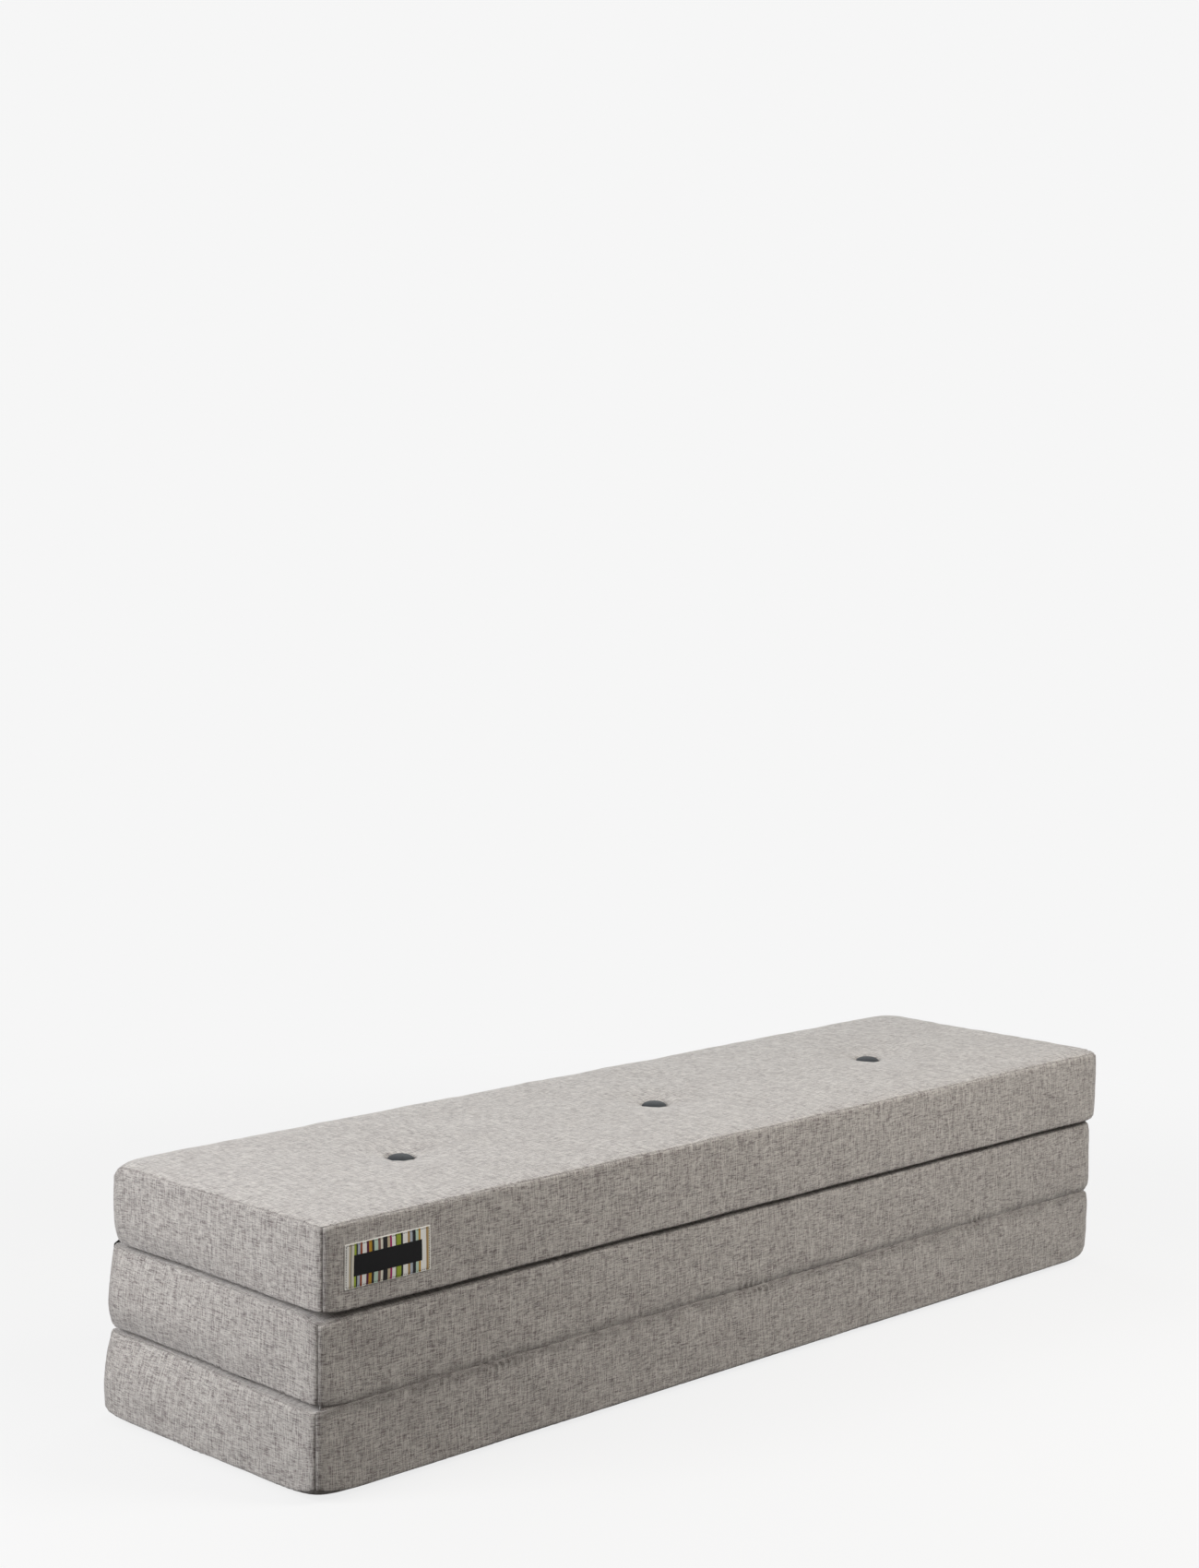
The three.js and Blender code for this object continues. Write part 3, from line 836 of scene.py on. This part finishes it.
def tuft_pull(rng, pad, box, s, face):
    """How deep the buttons of a face draw it in at every point.

    Under a button the depth is even. Outside it falls steeply to a wide shallow hollow, both by an
    exponential of the distance, and creases, which are cosines of the angle with a few counts, run out from
    the rim.
    """
    total = np.zeros(len(box))
    for place in pad.tufts:
        x, y = box[:, 0] - place, box[:, 1]
        outside = np.maximum(np.hypot(x, y) - (pad.button_radius - TUFT_OVERLAP), 0)
        hollow = s.tuft_dip * np.exp(-(outside / s.tuft_spread) ** 1.3)
        steep = (pad.tuft_depth[face] + TUFT_GAP - s.tuft_dip) * np.exp(-(outside / s.tuft_reach) ** 1.2)
        angle = np.arctan2(y, x)
        turns = zip((3, 5, 8, 11), rng.uniform(0, 2 * np.pi, 4))
        creases = sum(np.cos(count * angle + phase) for count, phase in turns)
        near = smooth(outside / (4 * MM)) * np.exp(-outside / (15 * MM))
        total = np.maximum(total, hollow + steep) + s.tuft_fold * creases / 2 * near
    return total


# Puckers and drag lines beside a seam: their shortest and longest wave, how many, and how far they reach.
PUCKERS = (0.009, 0.017, 5, 2.6 * MM)
DRAGS = (0.028, 0.065, 4, 9 * MM)


def seam_relief(rng, pad, box, s, folds):
    """Height of the grooves, puckers and drag lines along the seams at every point.

    The distance to a seam is the sum of the distances along the two other axes. The groove is a bell curve
    of it. Puckers are waves along the seam that rise and die away beside it, the short ones close by.
    """
    (x, y, z), (a, b) = box.T, pad.half
    ends, sides, levels = {-1: x + a, 1: a - x}, {-1: y + b, 1: b - y}, {-1: z, 1: pad.thick - z}
    seams = []
    for i in (-1, 1):
        for j in (-1, 1):
            fold = i == -1 and {-1: "lower", 1: "upper"}[j] in folds
            rest = 0.4 if pad.name == "bottom" and j == -1 else 1.0
            lengthwise = 2.2 if fold else rest * (1.0 if i == -1 else 0.5)
            seams.append((x, sides[i] + levels[j], ends, lengthwise, 0.2 if fold else rest))
            seams.append((y, ends[i] + levels[j], sides, 1.15 * rest, rest))
            seams.append((z, ends[i] + sides[j], levels, 0.45 if j == -1 else 0.2, 0.9))
    total = np.zeros(len(box))
    for along, away, to_ends, strength, depth in seams:
        uneven = smooth(0.5 + 0.6 * waves(rng, along, 0.07, 0.19, 4))
        short, long = (waves(rng, along, *kind) * (away / reach) * np.exp(1 - away / reach)
                       for *kind, reach in (PUCKERS, DRAGS))
        held = smooth(np.minimum(to_ends[-1], to_ends[1]) / 0.012)
        total += strength * held * (s.pucker * uneven * short + s.drag * long * 0.5)
        total -= s.groove * depth * bell(away / s.groove_width)
    return total


class Cover:
    """The surface of one pad's cover, worked out on a Shell and placed where the pad lies."""

    def __init__(self, name, s):
        self.pad = Pad(name)
        self.folds = FOLDS[name]
        self.shell = Shell(self.pad, s.line_step if name == "top" else s.hidden_step, self.folds, s)
        self.points = self.surface(np.random.default_rng(SEEDS[name]), s)
        self.shade = self.seam_shade(s)

    def surface(self, rng, s):
        """The points of the cover.

        A point of the box is drawn in with the sides, rounded in plan and lowered with the shoulders. Then
        the relief of the seams and the slow swell of the cloth are added along the normals, and the tufts
        along Z. Cloth that rests on other cloth, in any pose, has no relief or swell that stands out.
        """
        pad, box = self.pad, self.shell.box
        x, y, z = box.T
        draw = side_draw(pad, box, s, self.folds)
        away = pad.half - np.abs(box[:, :2])
        plan = box[:, :2] - np.sign(box[:, :2]) * draw * falls(away / DRAW_REACH, 2.0)
        plan = round_corners(pad, plan, draw, box, s)
        low = face_drop(pad, box, s, "lower", self.folds)
        high = pad.thick - face_drop(pad, box, s, "upper", self.folds)
        points = np.column_stack([plan, low + (high - low) * z / pad.thick])
        normals = corner_normals(points, self.shell.quads)
        relief = seam_relief(rng, pad, box, s, self.folds)
        swell = s.swell * waves(rng, x + z, 0.05, 0.21, 14, y + 0.7 * z)
        on_upper, on_lower, on_back = z >= pad.thick, z <= 0, y >= pad.half[1]
        resting = on_lower | on_upper & (pad.name != "top") | on_back & (pad.name != "bottom")
        inner = smooth(away.min(1) / 0.02)
        swell = np.where(resting, -np.abs(swell) * 0.3 * (1 - inner), swell)
        relief = np.where(resting, np.minimum(relief, 0), relief)
        points += normals * (relief + swell)[:, None]
        points[:, 2] -= np.where(on_upper, tuft_pull(rng, pad, box, s, "upper"), 0)
        points[:, 2] += np.where(on_lower, tuft_pull(rng, pad, box, s, "lower"), 0)
        points[:, 1] += np.where(self.shell.lifted, FOLD_GAP, 0)
        return points + np.array([*pad.centre, pad.under])

    def seam_shade(self, s):
        """How much the cloth's colour is darkened, by bell curves: in the seams' grooves, partly the seam
        line's own dark look and partly painted shade, and in the crease of the front fold, painted shade in a
        band that is uneven along it.
        """
        (x, y, up), (a, b) = self.shell.box.T, self.pad.half
        down = self.pad.thick - up
        away = np.sort(np.stack([a - np.abs(x), b - np.abs(y), up, down]), 0)
        shade = s.seam_shade * bell((away[0] + away[1]) / s.seam_shade_width)
        level = {"bottom": down, "middle": up}.get(self.pad.name)
        if level is not None:
            front = bell((y + b) / (4 * MM))
            rng = np.random.default_rng(3)
            uneven = 0.22 * waves(rng, x, 0.005, 0.012, 6) + 0.18 * waves(rng, x, 0.03, 0.09, 4)
            reach = s.fold_shade_width * (1 + uneven)
            band = bell(level / np.maximum(reach, LEAST_BAND))
            shade = np.maximum(shade * (1 - front * (level < 1 * MM)), s.fold_shade * front * band)
        return shade

    def cloth_map(self):
        """The quads' corners on the cloth: the two box coordinates of each sheet, moved apart by sheet."""
        axes = {"upper": (0, 1), "lower": (0, 1), "front": (0, 2), "back": (0, 2),
                "right": (1, 2), "left": (1, 2)}
        corners = (self.shell.box + np.array([0, 0, self.pad.under]))[self.shell.quads]
        uv = np.zeros((*self.shell.quads.shape, 2))
        for i, (name, pair) in enumerate(axes.items()):
            mine = self.shell.sheet_of == name
            moved = 0.0 if name == "front" else 1.37 * (i + 1) + 0.31 * SEEDS[self.pad.name]
            uv[mine] = corners[mine][:, :, pair] + moved
        return uv

    def depth(self, side, x, z):
        """Where the front or the back lies at places x and z: its Y, mixed from the four nearest points."""
        numbers = self.shell.sheets[side]
        sheet = self.points[numbers if side == "front" else numbers.T]
        i, p = cell(sheet[:, sheet.shape[1] // 2, 0], x)
        j, q = cell(sheet[sheet.shape[0] // 2, :, 2], z)
        y = sheet[:, :, 1]
        return ((1 - p) * (1 - q) * y[i, j] + p * (1 - q) * y[i + 1, j]
                + (1 - p) * q * y[i, j + 1] + p * q * y[i + 1, j + 1])


def stitches(ends, normal, radius, steps=5, spokes=6):
    """Thread stitches, one for each pair of ends.

    A stitch is a bent tube: it runs from end to end, rises by half a sine wave along the normal and narrows
    towards both ends.
    """
    start, way = ends[:, 0], ends[:, 1] - ends[:, 0]
    run = np.linspace(0, 1, steps)
    rise = np.sin(np.pi * run)[:, None]
    line = start[:, None] + way[:, None] * run[:, None] + normal * (rise * radius * 1.3)
    side = np.cross(way / np.linalg.norm(way, axis=1, keepdims=True), normal)
    angle = (np.arange(spokes) * 2 * np.pi / spokes)[:, None]
    ring = side[:, None, None] * np.cos(angle) + normal * np.sin(angle)
    points = line[:, :, None] + ring * (radius * (0.35 + 0.65 * rise))[:, None]
    number, tube = rings(steps, spokes)
    lids = [number[row, turn] for i in range(1, spokes - 2, 2)
            for row, turn in ((0, [0, i + 2, i + 1, i]), (-1, [0, i, i + 1, i + 2]))]
    one = np.concatenate([tube, lids])
    quads = one + (np.arange(len(ends)) * steps * spokes)[:, None, None]
    return faced_out(points.reshape(-1, 3), quads.reshape(-1, 4))


# Operators

class MATTRESS_OT_lower_cover(bpy.types.Operator):
    """Builds the cover of the bottom and the middle pad, one cloth across the front fold"""

    bl_idname = "mattress.lower_cover"
    bl_label = "Lower covers"

    def execute(self, context):
        s = context.scene.mattress_cover
        bottom, middle = Cover("bottom", s), Cover("middle", s)
        points, quads, cloth_uv, shade = self.joined(bottom, middle, s)
        piece = add_piece("cover_lower_pads", points, quads, melange_cloth(), cloth_uv, shade)
        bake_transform(piece)
        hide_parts(*bottom.pad.nodes, *middle.pad.nodes)
        return {"FINISHED"}

    @staticmethod
    def joined(bottom, middle, s):
        """The two covers, and a strip of cloth across the fold on the outside and one on the inside.

        Each row of a strip is a straight mix of the two covers' edges in X and Y, and its height steps
        through the gap of the fold. The rows between the first and the last keep to the straight part of
        the fold: past its ends only a tenth of the way to the rounded corner is left, so that no cloth
        stands up there when the fold opens. The inner strip shares its first and last column with the outer
        one.
        """
        shift = len(bottom.points)
        everything = np.concatenate([bottom.points, middle.points])
        edges = (
            (bottom.shell.sheets["front"][:, -1], middle.shell.sheets["front"][:, 0] + shift),
            (bottom.shell.edges["upper"], middle.shell.edges["lower"] + shift),
        )
        steps = np.linspace(0, 1, 5)
        reach = bottom.pad.half[0]
        numbers = []
        for first, second in edges:
            rows = everything[first] + (everything[second] - everything[first]) * steps[:, None, None]
            for row in rows[1:-1]:
                straight = np.clip(row[:, 0], s.near_corner - reach, reach - s.far_corner)
                held = np.stack([straight, np.interp(straight, row[:, 0], row[:, 1])], 1)
                row[:, :2] = held + (row[:, :2] - held) * 0.1
            rows[:, :, 2] = (bottom.pad.top + (middle.pad.under - bottom.pad.top) * steps)[:, None]
            own = len(everything) + np.arange(rows[:, :, 0].size).reshape(rows.shape[:2])
            everything = np.concatenate([everything, rows.reshape(-1, 3)])
            numbers.append(np.concatenate([first[None], own, second[None]]))
        numbers[1][1:-1, [0, -1]] = numbers[0][1:-1, [0, -1]]
        strips = [quads_of(numbers[0].T), quads_of(numbers[1].T)[:, ::-1]]
        strip_uv = [everything[strip][:, :, [0, 2]] for strip in strips]
        cloth_uv = np.concatenate([bottom.cloth_map(), middle.cloth_map(), *strip_uv])
        quads = np.concatenate([bottom.shell.quads, middle.shell.quads + shift, *strips])
        # Painted shade: the strips across the fold get the crease's full painted shade.
        shade = np.full(len(everything), s.fold_shade)
        shade[:shift + len(middle.points)] = np.concatenate([bottom.shade, middle.shade])
        used, quads = np.unique(quads, return_inverse=True)
        return everything[used], quads.reshape(-1, 4), cloth_uv, shade[used]


class MATTRESS_OT_top_cover(bpy.types.Operator):
    """Builds the cover of the top pad"""

    bl_idname = "mattress.top_cover"
    bl_label = "Top cover"

    def execute(self, context):
        top = Cover("top", context.scene.mattress_cover)
        piece = add_piece("cover_top_pad", top.points, top.shell.quads, bpy.data.materials["melange_cloth"],
                          top.cloth_map(), top.shade)
        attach(piece, "top_pad")
        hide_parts(*top.pad.nodes)
        return {"FINISHED"}


class MATTRESS_OT_buttons(bpy.types.Operator):
    """Builds the eighteen covered buttons"""

    bl_idname = "mattress.buttons"
    bl_label = "Buttons"

    def execute(self, context):
        s = context.scene.mattress_button
        material = button_cloth()
        rng = np.random.default_rng(5)
        for pad, face, tuft in product(PADS, FACES, TUFTS):
            node = f"button_{pad}_{face}_{tuft}"
            piece = add_piece(f"covered_{node}", *self.button(rng, *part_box(node), face, s), material)
            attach(piece, f"{pad}_pad")
            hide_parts(node)
        return {"FINISHED"}

    @staticmethod
    def button(rng, low, high, face, s):
        """A covered button turned about its axis, from the middle of its dome to the middle of its back.

        Its section is a superellipse dome above a rolled rim and a flat back. The cloth's tension adds a few
        cosines of the angle to the radius, most at the rim.
        """
        radius, tall = (high[0] - low[0]) / 2, (high[2] - low[2]) * s.fullness
        run = np.linspace(0, 1, s.rings)
        out, level = np.abs(np.sin(run * np.pi)) ** 0.72, np.abs(np.cos(run * np.pi))
        rise = np.where(run < 0.5, 0.28 + 0.72 * level ** 1.25, 0.28 - 0.28 * level ** 0.6)
        out[0] = out[-1] = 0.012
        angle = np.arange(s.spokes) * 2 * np.pi / s.spokes
        ripple = sum(np.cos(n * angle + p) for n, p in zip((2, 3, 7, 13), rng.uniform(0, 2 * np.pi, 4)))
        spread = radius * out[:, None] * (1 + 0.006 * ripple[None, :] * out[:, None] ** 2)
        x = spread * np.cos(angle) + (low[0] + high[0]) / 2
        y = spread * np.sin(angle) + (low[1] + high[1]) / 2
        z = np.repeat((tall * rise)[:, None], s.spokes, 1)
        points = np.stack([x, y, low[2] + z if face == "upper" else high[2] - z], -1).reshape(-1, 3)
        number, tube = rings(s.rings, s.spokes)
        outer = number[[0, -1]]
        half = np.arange(0, s.spokes, 2)
        near = (half + np.arange(3)[:, None]) % s.spokes
        lids = [np.stack([np.full(len(half), len(points) + i), *ring[near]], 1)
                for i, ring in enumerate(outer)]
        quads = np.concatenate([tube, lids[0][:, ::-1], lids[1]])
        return faced_out(np.concatenate([points, points[outer].mean(1)]), quads)


class MATTRESS_OT_hinge_tape(bpy.types.Operator):
    """Builds the black tape across the back fold"""

    bl_idname = "mattress.hinge_tape"
    bl_label = "Hinge tape"

    def execute(self, context):
        s = context.scene.mattress_tape
        cover = context.scene.mattress_cover
        middle, top = Cover("middle", cover), Cover("top", cover)
        low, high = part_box("hinge_tape_lower")[0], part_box("hinge_tape_upper")[1]
        x = np.linspace(low[0], high[0], int((high[0] - low[0]) / s.column_step) + 1)
        on_middle = np.linspace(low[2], middle.pad.top - cover.covered_drop - cover.upper_inset, 12)
        on_top = np.linspace(top.pad.under + cover.under_drop, high[2], 14)
        bend, run = np.linspace(on_middle[-1], on_top[0], 9)[1:-1], np.linspace(0, 1, 9)[1:-1]
        y_middle = middle.depth("back", x[:, None], on_middle[None])
        y_top = top.depth("back", x[:, None], on_top[None])
        y_bend = y_middle[:, -1:] + (y_top[:, :1] - y_middle[:, -1:]) * run
        y = np.concatenate([y_middle, y_bend, y_top], 1) + s.lift
        inner = np.stack(np.broadcast_arrays(x[:, None], y, np.concatenate([on_middle, bend, on_top])), -1)
        points, quads = closed_slab(inner + np.array([0, s.thickness, 0]), inner)
        piece = add_piece("black_hinge_tape", points, quads, black_tape(), points[quads][:, :, [0, 2]])
        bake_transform(piece)
        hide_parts("hinge_tape_lower", "hinge_tape_upper")
        return {"FINISHED"}


class MATTRESS_OT_label(bpy.types.Operator):
    """Builds the striped label with its plain patch and its stitching"""

    bl_idname = "mattress.label"
    bl_label = "Label"

    def execute(self, context):
        s = context.scene.mattress_label
        top = Cover("top", context.scene.mattress_cover)
        low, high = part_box("label_ribbon")
        for node, lift, thick, material in (
            ("label_ribbon", s.lift, s.thickness, striped_ribbon(high[0] - low[0], high[2] - low[2])),
            ("label_patch", s.lift + s.thickness, s.patch_lift, black_patch()),
        ):
            points, quads, cloth_uv = self.slip(top, *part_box(node), lift, thick, s)
            piece = add_piece(f"sewn_{node}", points, quads, material, cloth_uv)
            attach(piece, "top_pad")
            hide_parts(node)
        # The thread's painted shade in the lay's grooves is 0.7 of its colour.
        material = wound_thread("dark_thread", [c * 0.7 for c in s.thread], s.thread, 0.5 * MM, -1, 0.08 * MM)
        thread = add_piece("label_stitches", *self.stitching(top, low, high, s), material)
        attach(thread, "top_pad")
        return {"FINISHED"}

    @staticmethod
    def slip(cover, low, high, lift, thick, s):
        """A thin slip that follows the front, with a rolled rim.

        Its thickness is a quarter circle of the distance from its edge, less a bell curve where the stitches
        hold it down.
        """
        lines = (grid_lines(low[i], high[i], s.grid_step, s.grid_step / 4, 0.3) for i in (0, 2))
        across, up = np.meshgrid(*lines, indexing="ij")
        sideways = np.minimum(across - low[0], high[0] - across)
        edge = np.minimum(sideways, np.minimum(up - low[2], high[2] - up))
        full = np.sqrt(1 - falls(edge / s.roll, 1) ** 2)
        held = 0.45 * bell((edge - s.stitch_margin) / (0.7 * MM))
        y = cover.depth("front", across, up) - lift
        front = np.stack([across, y - thick * (0.15 + 0.85 * full - held), up], -1)
        points, quads = closed_slab(front, np.stack([across, y, up], -1))
        return points, quads, points[quads][:, :, [0, 2]] - np.array([low[0], low[2]])

    @staticmethod
    def stitching(cover, low, high, s):
        """The stitches round the ribbon, on a rectangle a margin inside its edge."""
        m = s.stitch_margin
        left, right, down, up = low[0] + m, high[0] - m, low[2] + m, high[2] - m
        corners = np.array([[left, down], [right, down], [right, up], [left, up]])
        ends = []
        for start, stop in zip(corners, np.roll(corners, -1, 0)):
            count = int(round(np.linalg.norm(stop - start) / s.stitch_pitch))
            run = (np.arange(count)[:, None] + np.array([0.14, 0.86])) / count
            ends.append(start + (stop - start) * run[:, :, None])
        x, z = np.moveaxis(np.concatenate(ends), -1, 0)
        y = cover.depth("front", x, z) - s.lift - 0.6 * s.thickness
        return stitches(np.stack([x, y, z], -1), np.array([0.0, -1.0, 0.0]), s.thread_radius)


class MATTRESS_OT_twine(bpy.types.Operator):
    """Gives the tufting twine its material"""

    bl_idname = "mattress.twine"
    bl_label = "Twine"

    def execute(self, context):
        material = wound_thread("twisted_twine", *TWINE_TINTS, 2.4 * MM, 1, 0.3 * MM)
        for pad, tuft in product(PADS, TUFTS):
            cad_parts[f"tuft_twine_{pad}_{tuft}"].material_slots[0].material = material
        return {"FINISHED"}


# The lamps: the name of each one's power, where it hangs, where it points and its colour.
LAMPS = (
    ("left", (-2.1, 0.3, 1.1), (-0.7, 0.0, 0.15), (0.985, 0.985, 1.0)),
    ("front_right", (0.5, -1.5, 1.6), (0.2, -0.1, 0.15), (1.0, 0.965, 0.915)),
    ("behind", (0.8, 0.9, 1.5), (0.4, 0.0, 0.2), (0.86, 0.95, 1.0)),
)


class MATTRESS_OT_stage(bpy.types.Operator):
    """Adds the floor, the light and the camera"""

    bl_idname = "mattress.stage"
    bl_label = "Stage"

    def execute(self, context):
        s = context.scene.mattress_stage
        for part in (self.floor, self.sky, self.lamps, self.camera):
            part(context.scene, s)
        context.scene.view_settings.view_transform = "Standard"
        return {"FINISHED"}

    @staticmethod
    def floor(scene, s):
        """A wide floor, which shows the paper's colour with some of the shadow, and returns the bounce.

        The shadow's share falls by a smooth step with the distance from the object.
        """
        points = np.array([[-1, -1, 0], [1, -1, 0], [1, 1, 0], [-1, 1, 0]]) * FLOOR_HALF
        shader = Shader("pale_floor", Roughness=1.0, Specular_IOR_Level=0.0, Base_Color=s.bounce)
        paper = shader.node("ShaderNodeBsdfDiffuse", None, Color=s.paper)
        glow = shader.node("ShaderNodeEmission", None, Color=s.paper, Strength=1.0)
        place = shader.node("ShaderNodeTexCoord", output="Object")
        away = shader.node("ShaderNodeVectorMath", {"operation": "LENGTH"}, place, output="Value")
        fading = away.between(s.shadow_start, s.shadow_end)
        shown = shader.either((1 - s.shadow) + fading * s.shadow, paper, glow)
        lit = Value(shader, shader.surface.outputs[0])
        seen = shader.either(shader.plain_view(), lit, shown)
        shader.put(shader.tree.nodes["Material Output"].inputs[0], seen)
        add_piece("floor", points, np.array([[0, 1, 2, 3]]), shader.material)

    @staticmethod
    def sky(scene, s):
        """Even light from all sides, which is seen as the paper's colour."""
        scene.world = bpy.data.worlds.new("sky")
        scene.world.use_nodes = True
        nodes = Nodes(scene.world.node_tree)
        light, paper = (nodes.node("ShaderNodeBackground", None, Color=tint, Strength=strength)
                        for tint, strength in ((s.sky_tint, s.sky), (s.paper, 1.0)))
        nodes.put(nodes.tree.nodes["World Output"].inputs[0], nodes.either(nodes.plain_view(), light, paper))

    @staticmethod
    def lamps(scene, s):
        """The square lamps round the object."""
        for name, place, aim, tint in LAMPS:
            lamp = bpy.data.lights.new(name, "AREA")
            lamp.energy, lamp.size, lamp.color = getattr(s, name), s.lamp_size, tint
            holder = bpy.data.objects.new(name, lamp)
            holder.location = place
            holder.rotation_euler = (Vector(aim) - Vector(place)).to_track_quat("-Z", "Y").to_euler()
            holder.visible_camera = False
            scene.collection.objects.link(holder)

    @staticmethod
    def camera(scene, s):
        """The camera, from its turn, dip and roll."""
        turn, dip, roll = s.camera_turn, s.camera_dip, s.camera_roll
        ahead = Vector((math.sin(turn) * math.cos(dip), math.cos(turn) * math.cos(dip), -math.sin(dip)))
        level = Vector((math.cos(turn), -math.sin(turn), 0))
        above = level.cross(ahead)
        right = math.cos(roll) * level + math.sin(roll) * above
        up = right.cross(ahead)
        data = bpy.data.cameras.new("camera")
        data.lens, data.sensor_width = s.lens, SENSOR_WIDTH
        camera = bpy.data.objects.new("camera", data)
        camera.matrix_world = Matrix((right, up, -ahead)).transposed().to_4x4()
        camera.location = s.camera_place
        scene.collection.objects.link(camera)
        scene.camera = camera


OPERATORS = (
    MATTRESS_OT_stage,
    MATTRESS_OT_lower_cover,
    MATTRESS_OT_top_cover,
    MATTRESS_OT_buttons,
    MATTRESS_OT_hinge_tape,
    MATTRESS_OT_label,
    MATTRESS_OT_twine,
)


class MATTRESS_PT_panel(bpy.types.Panel):
    """Lists the parts of the mattress"""

    bl_idname = "MATTRESS_PT_panel"
    bl_label = "Folding mattress"
    bl_space_type = "VIEW_3D"
    bl_region_type = "UI"
    bl_category = "Mattress"

    def draw(self, context):
        for operator in OPERATORS:
            self.layout.operator(operator.bl_idname)
        for name, group in SETTINGS.items():
            box = self.layout.box()
            for key in group.__annotations__:
                box.prop(getattr(context.scene, name), key)


def register():
    """Registers the settings, the operators and the panel."""
    for name, group in SETTINGS.items():
        bpy.utils.register_class(group)
        setattr(bpy.types.Scene, name, PointerProperty(type=group))
    for cls in (*OPERATORS, MATTRESS_PT_panel):
        bpy.utils.register_class(cls)


def unregister():
    """Takes all of it out again."""
    for cls in reversed((*OPERATORS, MATTRESS_PT_panel)):
        bpy.utils.unregister_class(cls)
    for name, group in SETTINGS.items():
        delattr(bpy.types.Scene, name)
        bpy.utils.unregister_class(group)


def main():
    """Builds every piece."""
    register()
    for operator in OPERATORS:
        group, name = operator.bl_idname.split(".")
        getattr(getattr(bpy.ops, group), name)()


if __name__ == "__main__":
    main()
